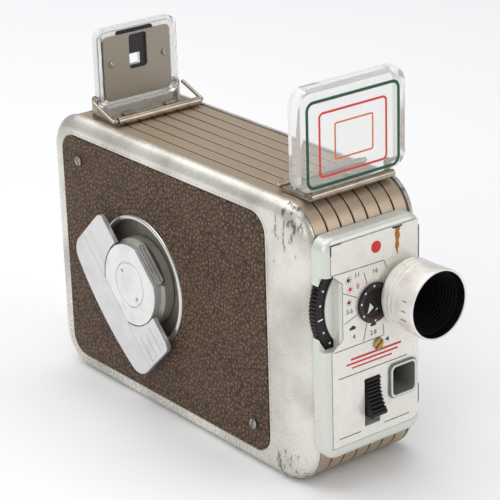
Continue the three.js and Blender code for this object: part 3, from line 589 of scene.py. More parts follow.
@dataclass(frozen=True)
class SilverEnamel(Finish):
    """Stoved silver-white enamel on pressed aluminium: a soft metallic sheen, worn through to
    grey metal along the front edges."""

    dull: str = "b4b1a8"
    bare: str = "7d7a73"

    def dress(
        self, tree: bpy.types.NodeTree, shader: bpy.types.Node, place: bpy.types.NodeSocket,
    ) -> None:
        """Adds the enamel's cloudiness and the worn patches.

        Args:
            tree: The node tree.
            shader: Its principled shader.
            place: Object coordinates in metres.
        """
        cloud = add_node(tree, "ShaderNodeTexNoise", {"Vector": place, "Scale": 45.0, "Detail": 5.0})
        fine = add_node(tree, "ShaderNodeTexNoise", {"Vector": place, "Scale": 900.0, "Detail": 3.0})
        split = add_node(tree, "ShaderNodeSeparateXYZ", {"Vector": place})
        # Wear gathers on the front corner of the shell, most of all low down.
        front = add_node(
            tree, "ShaderNodeMapRange",
            {"Value": split.outputs["Y"], "From Min": -0.0585, "From Max": -0.064},
        ).outputs[0]
        behind = add_node(
            tree, "ShaderNodeMapRange",
            {"Value": split.outputs["Y"], "From Min": -0.0815, "From Max": -0.078},
        ).outputs[0]
        low = add_node(
            tree, "ShaderNodeMapRange", {"Value": split.outputs["Z"], "From Min": 0.045, "From Max": 0.006},
        ).outputs[0]
        high = add_node(
            tree, "ShaderNodeMapRange",
            {
                "Value": split.outputs["Z"], "From Min": 0.07, "From Max": 0.098, "To Min": 0.0,
                "To Max": 0.88,
            },
        ).outputs[0]
        zone = add_node(tree, "ShaderNodeMath", {0: low, 1: high}, operation="MAXIMUM").outputs[0]
        zone = add_node(tree, "ShaderNodeMath", {0: zone, 1: front}, operation="MULTIPLY").outputs[0]
        zone = add_node(tree, "ShaderNodeMath", {0: zone, 1: behind}, operation="MULTIPLY").outputs[0]
        stretch = add_node(tree, "ShaderNodeMapping", {"Vector": place, "Scale": (1.0, 1.0, 0.35)})
        flakes = add_node(
            tree, "ShaderNodeTexNoise",
            {"Vector": stretch.outputs[0], "Scale": 420.0, "Detail": 8.0, "Roughness": 0.72},
        )
        limit = add_node(
            tree, "ShaderNodeMapRange",
            {"Value": zone, "From Min": 0.0, "From Max": 1.0, "To Min": 0.86, "To Max": 0.5},
        ).outputs[0]
        over = add_node(tree, "ShaderNodeMath", {0: flakes.outputs["Fac"], 1: limit}, operation="SUBTRACT")
        worn = add_node(
            tree, "ShaderNodeMapRange", {"Value": over.outputs[0], "From Min": 0.0, "From Max": 0.03},
        ).outputs[0]
        cloudy = add_node(
            tree, "ShaderNodeMapRange", {"Value": cloud.outputs["Fac"], "From Min": 0.35, "From Max": 0.7},
        ).outputs[0]
        tones = {FACTOR: cloudy, FIRST: linear(self.colour), SECOND: linear(self.dull)}
        paint = add_node(tree, "ShaderNodeMix", tones, data_type="RGBA").outputs[2]
        layers = {FACTOR: worn, FIRST: paint, SECOND: linear(self.bare)}
        colour = add_node(tree, "ShaderNodeMix", layers, data_type="RGBA").outputs[2]
        tree.links.new(colour, shader.inputs["Base Color"])
        rough = add_node(
            tree, "ShaderNodeMapRange",
            {
                "Value": fine.outputs["Fac"], "From Min": 0.3, "From Max": 0.7,
                "To Min": self.roughness * 0.85, "To Max": self.roughness * 1.2,
            },
        ).outputs[0]
        tree.links.new(rough, shader.inputs["Roughness"])
        height = add_node(tree, "ShaderNodeMath", {0: fine.outputs["Fac"], 1: worn}, operation="SUBTRACT")
        relief = add_node(
            tree, "ShaderNodeBump", {"Height": height.outputs[0], "Strength": 0.12, "Distance": 0.00008},
        )
        tree.links.new(relief.outputs[0], shader.inputs["Normal"])


@dataclass(frozen=True)
class Leatherette(Finish):
    """Coated cloth embossed as pebbled hide: rounded grains about 1.8 mm across between darker
    creases, with a slow change of tone over the panel."""

    crease: str = "2a1d15"
    bloom: str = "6a5647"

    def dress(
        self, tree: bpy.types.NodeTree, shader: bpy.types.Node, place: bpy.types.NodeSocket,
    ) -> None:
        """Adds the embossed grains.

        Args:
            tree: The node tree.
            shader: Its principled shader.
            place: Object coordinates in metres.
        """
        bend = add_node(tree, "ShaderNodeTexNoise", {"Vector": place, "Scale": 380.0, "Detail": 3.0})
        shift = add_node(
            tree, "ShaderNodeVectorMath", {0: bend.outputs["Color"], "Scale": 0.0011}, operation="SCALE",
        )
        moved = add_node(
            tree, "ShaderNodeVectorMath", {0: place, 1: shift.outputs[0]}, operation="ADD",
        ).outputs[0]
        grains = add_node(
            tree, "ShaderNodeTexVoronoi",
            {"Vector": moved, "Scale": 1000.0 / self.grain_mm, "Randomness": 1.0},
            feature="DISTANCE_TO_EDGE",
        )
        crowns = add_node(
            tree, "ShaderNodeMapRange",
            {"Value": grains.outputs["Distance"], "From Min": 0.03, "From Max": 0.26},
        ).outputs[0]
        second = add_node(
            tree, "ShaderNodeTexVoronoi", {"Vector": moved, "Scale": 2300.0 / self.grain_mm},
            feature="DISTANCE_TO_EDGE",
        )
        pits = add_node(
            tree, "ShaderNodeMapRange",
            {"Value": second.outputs["Distance"], "From Min": 0.0, "From Max": 0.25},
        ).outputs[0]
        slow = add_node(tree, "ShaderNodeTexNoise", {"Vector": place, "Scale": 60.0, "Detail": 4.0})
        height = add_node(tree, "ShaderNodeMath", {0: pits, 1: 0.3, 2: crowns}, operation="MULTIPLY_ADD")
        tones = {FACTOR: crowns, FIRST: linear(self.crease), SECOND: linear(self.colour)}
        tone = add_node(tree, "ShaderNodeMix", tones, data_type="RGBA").outputs[2]
        lift = add_node(
            tree, "ShaderNodeMapRange",
            {"Value": slow.outputs["Fac"], "From Min": 0.3, "From Max": 0.75, "To Min": 0.0, "To Max": 0.45},
        ).outputs[0]
        tones = {FACTOR: lift, FIRST: tone, SECOND: linear(self.bloom)}
        light = add_node(tree, "ShaderNodeMix", tones, data_type="RGBA", blend_type="SCREEN").outputs[2]
        mixed = add_node(
            tree, "ShaderNodeMix", {FACTOR: 0.35, FIRST: tone, SECOND: light}, data_type="RGBA",
        ).outputs[2]
        tree.links.new(mixed, shader.inputs["Base Color"])
        rough = add_node(
            tree, "ShaderNodeMapRange",
            {"Value": crowns, "From Min": 0.0, "From Max": 1.0, "To Min": 0.42, "To Max": 0.62},
        ).outputs[0]
        tree.links.new(rough, shader.inputs["Roughness"])
        relief = add_node(
            tree, "ShaderNodeBump", {"Height": height.outputs[0], "Strength": 0.85, "Distance": 0.00035},
        )
        tree.links.new(relief.outputs[0], shader.inputs["Normal"])


class Grain(Enum):
    """Which way the tool marks of a worked metal run."""

    STRAIGHT = "straight"
    SPUN = "spun"


@dataclass(frozen=True)
class WorkedMetal(Finish):
    """Bare metal with tool marks: straight ones from brushing, or rings from the lathe."""

    marks: Grain = Grain.STRAIGHT
    centre: tuple[float, float, float] = (0.0, 0.0, 0.0)
    turn: tuple[float, float, float] = (0.0, 0.0, 0.0)
    depth: float = 0.15
    tarnish: str = "8f887c"
    tarnish_amount: float = 0.25

    def dress(
        self, tree: bpy.types.NodeTree, shader: bpy.types.Node, place: bpy.types.NodeSocket,
    ) -> None:
        """Adds the tool marks, and a thin uneven tarnish.

        Args:
            tree: The node tree.
            shader: Its principled shader.
            place: Object coordinates in metres.
        """
        shift = add_node(
            tree, "ShaderNodeVectorMath", {0: place, 1: tuple(-v * MM for v in self.centre)},
            operation="ADD",
        )
        local = add_node(
            tree, "ShaderNodeMapping", {"Vector": shift.outputs[0], "Rotation": self.turn},
        ).outputs[0]
        if self.marks is Grain.SPUN:
            wave = add_node(
                tree, "ShaderNodeTexWave",
                {"Vector": local, "Scale": 600.0, "Distortion": 1.5, "Detail": 2.0, "Detail Scale": 0.6},
                wave_type="BANDS", bands_direction="Y",
            )
            lines = wave.outputs["Fac"]
        else:
            fine = add_node(tree, "ShaderNodeMapping", {"Vector": local, "Scale": (1.0, 0.02, 1.0)})
            noise = add_node(
                tree, "ShaderNodeTexNoise", {"Vector": fine.outputs[0], "Scale": 3500.0, "Detail": 3.0},
            )
            lines = noise.outputs["Fac"]
        cloud = add_node(
            tree, "ShaderNodeTexNoise", {"Vector": place, "Scale": 130.0, "Detail": 6.0, "Roughness": 0.6},
        )
        stain = add_node(
            tree, "ShaderNodeMapRange",
            {
                "Value": cloud.outputs["Fac"], "From Min": 0.45, "From Max": 0.8, "To Min": 0.0,
                "To Max": self.tarnish_amount,
            },
        ).outputs[0]
        colour = add_node(
            tree, "ShaderNodeMix", {FACTOR: stain, FIRST: linear(self.colour), SECOND: linear(self.tarnish)},
            data_type="RGBA",
        ).outputs[2]
        tree.links.new(colour, shader.inputs["Base Color"])
        low = self.roughness * (1 - self.depth)
        high = self.roughness * (1 + self.depth)
        rough = add_node(
            tree, "ShaderNodeMapRange",
            {"Value": lines, "From Min": 0.25, "From Max": 0.75, "To Min": low, "To Max": high},
        ).outputs[0]
        tree.links.new(rough, shader.inputs["Roughness"])
        relief = add_node(
            tree, "ShaderNodeBump", {"Height": lines, "Strength": self.depth * 0.5, "Distance": 0.00002},
        )
        tree.links.new(relief.outputs[0], shader.inputs["Normal"])


@dataclass(frozen=True)
class BandLacquer(Finish):
    """Metallic lacquer on the grooved band, its grooves darkened with painted shade."""

    pitch_mm: float = 6.43
    groove_shade: str = "3a2c20"

    def dress(
        self, tree: bpy.types.NodeTree, shader: bpy.types.Node, place: bpy.types.NodeSocket,
    ) -> None:
        """Adds the mottle, and darkens the grooves by their distance across the band.

        Args:
            Adds the mottle, and paints shade into the grooves, darker towards each groove's centre line.
            shader: Its principled shader.
            place: Object coordinates in metres.
        """
        links = {"Vector": place, "Scale": 1000.0 / self.grain_mm, "Detail": 4.0}
        noise = add_node(tree, "ShaderNodeTexNoise", links).outputs["Fac"]
        # Painted shade: the colour darkens towards the centre line of each groove.
        across = add_node(tree, "ShaderNodeSeparateXYZ", {"Vector": place}).outputs["X"]
        strips = add_node(
            tree, "ShaderNodeMath", {0: across, 1: 1000.0 / self.pitch_mm}, operation="MULTIPLY",
        )
        part = add_node(tree, "ShaderNodeMath", {0: strips.outputs[0]}, operation="FRACT")
        offset = add_node(tree, "ShaderNodeMath", {0: part.outputs[0], 1: 0.5}, operation="SUBTRACT")
        away = add_node(tree, "ShaderNodeMath", {0: offset.outputs[0]}, operation="ABSOLUTE").outputs[0]
        outside_groove_shade = add_node(
            tree, "ShaderNodeMapRange", {"Value": away, "From Min": 0.03, "From Max": 0.075},
        ).outputs[0]
        shade = add_node(
            tree, "ShaderNodeMapRange",
            {
                "Value": noise, "From Min": 0.3, "From Max": 0.7, "To Min": 1.0 - self.mottle,
                "To Max": 1.0 + self.mottle,
            },
        ).outputs[0]
        lit = add_node(
            tree, "ShaderNodeVectorMath", {0: linear(self.colour)[:3], 1: shade}, operation="MULTIPLY",
        )
        tones = {FACTOR: outside_groove_shade, FIRST: linear(self.groove_shade), SECOND: lit.outputs[0]}
        colour = add_node(tree, "ShaderNodeMix", tones, data_type="RGBA").outputs[2]
        tree.links.new(colour, shader.inputs["Base Color"])
        relief = add_node(
            tree, "ShaderNodeBump", {"Height": noise, "Strength": self.bump, "Distance": 0.0001},
        )
        tree.links.new(relief.outputs[0], shader.inputs["Normal"])


@dataclass(frozen=True)
class ClearMoulding(Finish):
    """Clear moulded acrylic or ground glass: light goes through, edges stay bright."""

    ior: float = 1.49
    clear: float = 1.0

    def dress(
        self, tree: bpy.types.NodeTree, shader: bpy.types.Node, place: bpy.types.NodeSocket,
    ) -> None:
        """Lets light through, with a faint ripple of the moulding.

        Args:
            tree: The node tree.
            shader: Its principled shader.
            place: Object coordinates in metres.
        """
        shader.inputs["IOR"].default_value = self.ior
        shader.inputs["Transmission Weight"].default_value = self.clear
        noise = add_node(tree, "ShaderNodeTexNoise", {"Vector": place, "Scale": 120.0, "Detail": 2.0})
        relief = add_node(
            tree, "ShaderNodeBump",
            {"Height": noise.outputs["Fac"], "Strength": self.bump, "Distance": 0.0002},
        )
        tree.links.new(relief.outputs[0], shader.inputs["Normal"])


KEY_TILT = math.atan2(0.72, 0.694)  # angle of the key above the horizontal, seen from its side
KEY_CENTRE = (0, 22, 54.8)  # a point on the key's axis, in mm

# Aluminium-flake enamel, stoved on pressed aluminium shells.
ENAMEL = SilverEnamel("silver_white_stoved_enamel", "e4e1d8", 0.28, 0.55)
# Coated cloth, embossed between rollers as pebbled hide and glued on.
HIDE = Leatherette("brown_pebbled_leatherette", "765d4a", 0.6, grain_mm=1.8, shine=0.2)
# Bronze-taupe lacquer with metal flake over the die-cast band, its grooves darkened with painted shade.
TAUPE = BandLacquer("taupe_metallic_lacquer", "b5a28c", 0.36, 0.6, grain_mm=0.6, mottle=0.05, bump=0.06)
# Grey lacquer sprayed on a zinc die casting.
CASTING = Finish("grey_lacquer_on_casting", "d9dbd3", 0.34, 0.35, grain_mm=1.2, mottle=0.03, bump=0.05)
# Rolled aluminium sheet, lightly satined and clear-lacquered.
PLATE = Finish("lacquered_aluminium_sheet", "ebe8e0", 0.28, 0.25, grain_mm=4.0, mottle=0.03)
# Aluminium stamping, brushed along its length.
BRUSHED = WorkedMetal(
    "brushed_aluminium_key", "dedede", 0.34, 0.75, centre=KEY_CENTRE, turn=(-KEY_TILT, 0, 0),
)
# Aluminium faced in the lathe and satined.
FACED = WorkedMetal("faced_aluminium_boss", "ececea", 0.32, 0.7, centre=KEY_CENTRE)
# The drum under the boss: the same aluminium, grey with oxide.
DRUM = WorkedMetal("oxidised_aluminium_drum", "bdb9ac", 0.42, 0.7, centre=KEY_CENTRE, tarnish="6f6a5e")
# The pressed cup behind the key, dull from the press; its dark grey colour is painted shade in the recess
# under the key.
WELL = WorkedMetal("painted_shade_pressed_cup", "8c887e", 0.5, 0.6, tarnish="5f5a50", tarnish_amount=0.5)
# Turned aluminium tube, rings from the tool left on it.
SPUN = WorkedMetal("turned_aluminium_lens", "f4f2ec", 0.34, 0.5, marks=Grain.SPUN, depth=0.3)
# Nickel plate on steel pressings and wire, yellowed with age.
NICKEL = WorkedMetal(
    "nickel_plated_steel", "b4aa9c", 0.24, 0.9, depth=0.2, tarnish="6c5c46", tarnish_amount=0.55,
)
# Bare bright steel of screws and pins.
STEEL = WorkedMetal("bright_steel", "a2a09c", 0.3, 1.0, tarnish="57524a", tarnish_amount=0.55)
# Turned brass under clear lacquer.
BRASS = WorkedMetal("lacquered_brass", "b99a5c", 0.25, 1.0, tarnish="6a5228", tarnish_amount=0.5)
# Burnished aluminium lip round the well.
LIP = WorkedMetal("burnished_rim", "dedcd6", 0.24, 0.9, depth=0.1, tarnish_amount=0.15)
# Moulded phenolic resin, brown-black.
BLACK_RING = Finish(
    "black_brown_bakelite", "150f0d", 0.36, 0.0, grain_mm=1.0, mottle=0.2, bump=0.1, shine=0.35,
)
# Matt black paint on metal.
BLACK = Finish("matt_black_paint", "0d0b0a", 0.45, 0.0, grain_mm=0.8, mottle=0.2, bump=0.05, shine=0.35)
# Black anodised inside of the lens tube.
TUBE_BLACK = Finish("black_anodised_tube", "020202", 0.6, 0.0, grain_mm=0.8, mottle=0.2, shine=0.15)
# Dark red enamel printed round the dial.
MAROON = Finish("maroon_printed_rim", "3a1c22", 0.4, 0.0, grain_mm=0.6, mottle=0.12)
# Off-white enamel filled into the marks.
WHITE_INK = Finish("white_filled_mark", "e8e6e0", 0.5, 0.0, grain_mm=0.5)
# Black printing ink, faded a little to grey.
BLACK_INK = Finish("black_printed_line", "2c2826", 0.55, 0.0, grain_mm=0.5)
# Red printing ink on the plate.
RED_INK = Finish("red_printed_mark", "cf2229", 0.45, 0.0, grain_mm=0.5)
# Dark green ink, screened on the widest field frame.
GREEN_INK = Finish("green_printed_frame", "17502b", 0.5, 0.0, grain_mm=0.7, mottle=0.15)
# Scarlet ink of the middle field frame.
SCARLET_INK = Finish("scarlet_printed_frame", "d83c2b", 0.5, 0.0, grain_mm=0.7, mottle=0.12)
# Orange ink of the nearest field frame.
ORANGE_INK = Finish("orange_printed_frame", "e17c37", 0.5, 0.0, grain_mm=0.7, mottle=0.12)
# Injection-moulded acrylic of both sight frames.
ACRYLIC = ClearMoulding("clear_moulded_acrylic", "fafaf8", 0.08, bump=0.06, ior=1.2, clear=0.8)
# The same acrylic where its front is a weak negative lens, hazed with age.
HAZED = ClearMoulding("hazed_moulded_acrylic", "fcfcfb", 0.08, bump=0.05, ior=1.2, clear=0.8)
# Bloomed glass of the lens and the finder window.
OPTIC = ClearMoulding("coated_lens_glass", "2c2f44", 0.03, ior=1.5)
# Anodised sheet behind the eyepiece.
ANODISED = Finish("grey_anodised_sheet", "a0988a", 0.4, 0.45, grain_mm=0.5, mottle=0.06, bump=0.05)
# Grey paint inside the finder tunnel.
TUNNEL = Finish("grey_painted_tunnel", "70726c", 0.45, 0.1, grain_mm=1.0)
# Dark grey paint of the eyepiece mask.
MASK = Finish("dark_grey_mask", "322e36", 0.6, 0.0, grain_mm=0.7)
# Dirt in a joint, and the painted shade on the floor of the release slot.
JOINT_DIRT_AND_SLOT_SHADE = Finish("dark_joint", "120f0c", 0.8, 0.0, grain_mm=1.0)
# Rust that has bled over lacquer.
RUST = Finish("rust_bloom", "b0702a", 0.8, 0.0, grain_mm=0.4, mottle=0.35, bump=0.3)


# ---- lofts, marks and the base of every sub-assembly -----------------------------------------
Station = tuple[float, Pair, Pair, float]


def lofted(name: str, axis: Axis, stations: Sequence[Station], steps: int = 8) -> bpy.types.Object:
    """A skin over rounded rectangles: a plane is rounded at each station and the rims are bridged.

    Args:
        name: The piece's name.
        axis: The axis that the stations follow.
        stations: Place along the axis, lowest corner, highest corner and corner radius, in mm.
            No two stations share a place.
        steps: Segments in each corner.

    Returns:
        The solid, with a flat cap at both ends.
    """
    rims = []
    for along, low, high, corner in stations:
        clear_selection()
        bpy.ops.mesh.primitive_plane_add(size=MM, rotation=axis.turn)
        rim = settle(name)
        with editing(rim):
            bpy.ops.mesh.select_all(action="SELECT")
            size = axis.across(high[0] - low[0], high[1] - low[1])
            bpy.ops.transform.resize(value=size, center_override=(0, 0, 0))
            middle = axis.point(along, (low[0] + high[0]) / 2, (low[1] + high[1]) / 2)
            bpy.ops.transform.translate(value=middle)
            bpy.ops.mesh.bevel(offset=corner * MM, segments=steps, affect="VERTICES")
            bpy.ops.mesh.select_all(action="SELECT")
            bpy.ops.mesh.delete(type="ONLY_FACE")
        rims.append(rim)
    obj = merged(name, rims)
    places = [station[0] * MM for station in stations]

    def lies_at(place: float) -> Callable[[object], bool]:
        """A test for edges that lie in one station's plane."""
        return lambda e: all(abs(v.co[axis.value] - place) < 2e-6 for v in e.verts)

    with editing(obj):
        for near, far in zip(places, places[1:]):
            pick(obj, "EDGE", lambda e: lies_at(near)(e) or lies_at(far)(e))
            bpy.ops.mesh.bridge_edge_loops()
        for end in (places[0], places[-1]):
            pick(obj, "EDGE", lies_at(end))
            bpy.ops.mesh.edge_face_add()
        bpy.ops.mesh.select_all(action="SELECT")
        bpy.ops.mesh.normals_make_consistent(inside=False)
    return obj


def softened_stations(
    start: float, end: float, low: Pair, high: Pair, corner: float, edge: float, steps: int = 6,
) -> list[Station]:
    """Stations of a straight block whose rim at its far end is rounded over.

    Args:
        start: The square end.
        end: The rounded end.
        low: Lowest corner.
        high: Highest corner.
        corner: Corner radius.
        edge: Radius of the rounding.
        steps: Segments across it.

    Returns:
        The stations.
    """
    way = math.copysign(1.0, end - start)
    rows: list[Station] = [(start, low, high, corner)]
    for i in range(steps + 1):
        angle = math.pi / 2 * i / steps
        inset = edge * (1 - math.cos(angle))
        along = end - way * edge * (1 - math.sin(angle))
        inner = (low[0] + inset, low[1] + inset)
        outer = (high[0] - inset, high[1] - inset)
        if abs(along - rows[-1][0]) > 0.006:
            rows.append((along, inner, outer, max(corner - inset, 0.3)))
    return rows


def slab(
    name: str, axis: Axis, start: float, end: float, low: Pair, high: Pair, corner: float, steps: int = 8,
) -> bpy.types.Object:
    """A straight block with rounded corners.

    Args:
        name: The piece's name.
        axis: The axis of its thickness.
        start: One face along the axis.
        end: The other face.
        low: Lowest corner in the two other coordinates.
        high: Highest corner.
        corner: Corner radius.
        steps: Segments in each corner.

    Returns:
        The solid.
    """
    return lofted(name, axis, [(start, low, high, corner), (end, low, high, corner)], steps)


def arc(centre: Pair, radius: float, start: float, end: float, steps: int) -> list[Pair]:
    """Points on an arc.

    Args:
        centre: The arc's centre.
        radius: Its radius.
        start: First angle in degrees.
        end: Last angle.
        steps: Segments.

    Returns:
        The points.
    """
    angles = [math.radians(start + (end - start) * i / steps) for i in range(steps + 1)]
    return [(centre[0] + radius * math.cos(a), centre[1] + radius * math.sin(a)) for a in angles]


def weigh(obj: bpy.types.Object, angle: float = 32.0) -> bpy.types.Object:
    """Shades a mesh smooth and lets its large faces set the normals, so flats stay flat.

    Args:
        obj: The mesh.
        angle: Edges sharper than this many degrees stay sharp.

    Returns:
        The same mesh.
    """
    smooth(obj, angle)
    apply_modifier(obj, "WEIGHTED_NORMAL", keep_sharp=True, weight=100)
    return obj


INK_TOP = -89.56
INK_FOOT = -89.47


def stroke(
    name: str, points: Sequence[Pair], width: float, top: float = INK_TOP, foot: float = INK_FOOT,
) -> bpy.types.Object:
    """A printed line on an upright face: strips from point to point, one object.

    Args:
        name: The piece's name.
        points: The line's corners, as x and z in mm.
        width: The line's width.
        top: Its outer face.
        foot: Its inner face, just under the surface.

    Returns:
        The line.
    """
    strips = []
    for (x0, z0), (x1, z1) in zip(points, points[1:]):
        length = math.hypot(x1 - x0, z1 - z0)
        side = (-(z1 - z0) / length * width / 2, (x1 - x0) / length * width / 2)
        corners = [
            (x0 - side[0], z0 - side[1]), (x1 - side[0], z1 - side[1]),
            (x1 + side[0], z1 + side[1]), (x0 + side[0], z0 + side[1]),
        ]
        strips.append(outlined(name, Axis.Y, foot, top, corners))
    return merged(name, strips)


def numeral(name: str, words: str, height: float, place: Pair, top: float = INK_TOP) -> bpy.types.Object:
    """Printed figures on an upright face.

    Args:
        name: The piece's name.
        words: The figures.
        height: Their height in mm.
        place: Their middle, as x and z.
        top: Their outer face.

    Returns:
        The figures as a mesh.
    """
    clear_selection()
    bpy.ops.object.text_add()
    obj = bpy.context.object
    obj.data.body = words
    obj.data.size = height / 0.7 * MM
    obj.data.extrude = 0.05 * MM
    obj.data.resolution_u = 3
    obj.data.align_x = "CENTER"
    obj.data.align_y = "CENTER"
    bpy.ops.object.convert(target="MESH")
    obj = bpy.context.object
    obj.rotation_euler = (math.pi / 2, 0.0, 0.0)
    obj.location = (place[0] * MM, (top + 0.05) * MM, place[1] * MM)
    settle(name)
    with editing(obj):
        bpy.ops.mesh.select_all(action="SELECT")
        bpy.ops.mesh.dissolve_limited(angle_limit=math.radians(1.0))
        bpy.ops.mesh.remove_doubles(threshold=1e-6)
        bpy.ops.mesh.normals_make_consistent(inside=False)
    return obj


def pin(
    name: str, axis: Axis, centre: Pair, radius: float, ends: Pair, lip: Pair, sides: int = 32,
) -> bpy.types.Object:
    """A plain pin, its two ends chamfered.

    Args:
        name: The piece's name.
        axis: The axis it lies along.
        centre: The axis' two other coordinates, in mm.
        radius: Its radius in mm.
        ends: Where it starts and ends along the axis.
        lip: Size of the chamfer, across the pin and along it.
        sides: Segments round it.

    Returns:
        The pin.
    """
    start, end = ends
    across, along = lip
    half = [(CORE, start), (radius - across, start), (radius, start + along)]
    rest = [(radius, end - along), (radius - across, end), (CORE, end)]
    return weigh(turned(name, axis, centre, half + rest, sides))


@dataclass
class Assembly:
    """What every sub-assembly can do with its pieces: finish them and tie them to the frame."""

    def fit(
        self, piece: bpy.types.Object, body: str, finish: Finish, slot: str, *stands_for: str,
    ) -> bpy.types.Object:
        """Gives a piece its material and body.

        Args:
            piece: The finished mesh.
            body: The body it rides on.
            finish: Its finish.
            slot: The record's material slot; not used.
            *stands_for: Frame nodes that it replaces.

        Returns:
            The piece.
        """
        piece.data.materials.clear()
        piece.data.materials.append(finish.build())
        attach(piece, body)
        if stands_for:
            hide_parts(*stands_for)
        log.info("%s: %d faces on %s, %s", piece.name, len(piece.data.polygons), body, finish.title)
        return piece


# ---- the body ----------------------------------------------------------------------------------
@dataclass
class Fasteners(Assembly):
    """Cheese-head screws with a cut slot: one head is modelled, the others are copies."""

    slot_width: float = 0.7
    slot_depth: float = 0.5

    def head(self, radius: float, height: float, depth: float = 4.0) -> bpy.types.Object:
        """One screw standing on the origin, its head up.

        Args:
            radius: Head radius in mm.
            height: Head height.
            depth: Length of the shank.

        Returns:
            The screw.
        """
        profile = [
            (CORE, -depth), (1.05, -depth), (1.05, 0.0), (radius - 0.08, 0.0), (radius, 0.08),
            (radius, height * 0.62), (radius - 0.18, height * 0.84), (radius - 0.5, height * 0.95),
            (radius * 0.4, height), (CORE, height),
        ]
        screw = turned("screw", Axis.Z, (0, 0), profile, 64)
        low = (-radius - 1, -self.slot_width / 2, height - self.slot_depth)
        carve(screw, block("slot", low, (radius + 1, self.slot_width / 2, height + 1)))
        soften(screw, 0.05, 1, SHARP)
        return screw

    def place(
        self, head: bpy.types.Object, name: str, where: Vector, facing: str, turn: float,
    ) -> bpy.types.Object:
        """Copies a screw to its place.

        Args:
            head: The screw to copy.
            name: The copy's name.
            where: The middle of its seat, in mm.
            facing: X-, Y- or Z+, the way the head points.
            turn: Angle of the slot in degrees.

        Returns:
            The copy.
        """
        aim = {
            "Z+": Matrix.Identity(4),
            "X-": Matrix.Rotation(-math.pi / 2, 4, "Y"),
            "Y-": Matrix.Rotation(math.pi / 2, 4, "X"),
        }[facing]
        spin = Matrix.Rotation(math.radians(turn), 4, "Z")
        return copied(head, name, Matrix.Translation(where * MM) @ aim @ spin)

    def build(self) -> None:
        """Makes every screw of the body and the sights."""
        sight = self.head(2.9, 1.15, 3.6)
        rows = [
            ("front_sight_screw_a", -7.5, -63.0, 35.0), ("front_sight_screw_b", 10.0, -63.0, 70.0),
            ("rear_sight_screw_a", -9.5, 53.0, 5.0), ("rear_sight_screw_b", 11.5, 53.0, -25.0),
        ]
        for name, x, y, turn in rows:
            piece = self.place(sight, f"{name}_fine", Vector((x, y, 114.15)), "Z+", turn)
            self.fit(piece, "chassis", NICKEL, "steel", name)
        case = self.head(2.1, 0.85, 5.0)
        for name, y, z, turn in (
            ("case_screw_top", 62.1, 95.8, 30.0), ("case_screw_low", -49.7, 18.1, -15.0),
        ):
            piece = self.place(case, f"{name}_fine", Vector((-28.9, y, z)), "X-", turn)
            self.fit(piece, "chassis", STEEL, "steel", name)
        panel = self.head(2.3, 0.6, 3.5)
        piece = self.place(panel, "panel_screw_fine", Vector((-0.4, -89.75, 56.5)), "Y-", 40.0)
        self.fit(piece, "chassis", BRASS, "brass", "panel_screw")
        for spent in (sight, case, panel):
            bpy.data.objects.remove(spent, do_unlink=True)


@dataclass
class Casing(Assembly):
    """A pressed side shell: an open pan whose edge rolls over in a quarter ellipse."""

    side: int
    wall: float = 1.3
    foot: float = 22.8
    reach: float = 5.3
    steps: int = 14
    low: Pair = (-82.0, 0.0)
    high: Pair = (84.0, 112.8)
    corner: float = 16.0
    hide_low: Pair = (-58.5, 7.4)
    hide_high: Pair = (74.5, 105.4)
    hide_corner: float = 8.0
    hide_gap: float = 0.3
    face: float = 28.1

    def pan(self, name: str, inset: float) -> bpy.types.Object:
        """The shell's outer or inner form, filled solid.

        Args:
            name: The solid's name.
            inset: How far it lies inside the outer form.

        Returns:
            The solid.
        """
        rows: list[Station] = []
        if inset > 0:
            rows.append((self.side * (self.foot - 1), *self.outline(0.0, inset)))
        for i in range(self.steps + 1):
            angle = math.pi / 2 * i / self.steps
            along = self.side * (self.foot + (self.reach - inset) * math.sin(angle))
            part = 1 - math.cos(angle)
            if not rows or abs(along - rows[-1][0]) > 0.006:
                rows.append((along, *self.outline(part, inset)))
        return lofted(name, Axis.X, rows, 12)

    def outline(self, part: float, inset: float) -> tuple[Pair, Pair, float]:
        """The rounded rectangle at one point of the rolled edge.

        Args:
            part: 0 at the foot, 1 on the flat.
            inset: How far it lies inside the outer form.

        Returns:
            Lowest corner, highest corner and corner radius.
        """
        low = (self.low[0] + 10.7 * part + inset, self.low[1] + 5.6 * part + inset)
        high = (self.high[0] - 7.0 * part - inset, self.high[1] - 5.6 * part - inset)
        return low, high, self.corner - 6 * part - inset

    def hide_block(self, name: str, start: float, end: float, grow: float) -> bpy.types.Object:
        """A block with the outline of the hide.

        Args:
            name: The solid's name.
            start: One face, as a distance from the middle.
            end: The other face.
            grow: How far it stands outside the hide's own edge.

        Returns:
            The solid.
        """
        low = (self.hide_low[0] - grow, self.hide_low[1] - grow)
        high = (self.hide_high[0] + grow, self.hide_high[1] + grow)
        return slab(name, Axis.X, self.side * start, self.side * end, low, high, self.hide_corner + grow, 10)

    def shell(self, name: str) -> bpy.types.Object:
        """The shell with its shallow pocket for the hide and a fine bead round the pocket.

        Args:
            name: The piece's name.

        Returns:
            The shell.
        """
        shell = self.pan(name, 0.0)
        carve(shell, self.pan("hollow", self.wall))
        bead = self.hide_block("bead", self.face - 0.3, self.face + 0.24, 1.3)
        carve(bead, self.hide_block("inner", self.face - 1, self.face + 1, 0.35))
        soften(bead, 0.2, 3, SHARP)
        carve(shell, bead, how="UNION")
        carve(shell, self.hide_block("pocket", self.face - 0.3, self.face + 3, self.hide_gap))
        return shell

    def hide(self, name: str) -> bpy.types.Object:
        """The sheet of leatherette, its edge pressed down.

        Args:
            name: The piece's name.

        Returns:
            The sheet.
        """
        way = self.side
        rows = softened_stations(
            way * (self.face - 0.28), way * (self.face + 0.48), self.hide_low, self.hide_high,
            self.hide_corner, 0.3, 4,
        )
        return lofted(name, Axis.X, rows, 10)


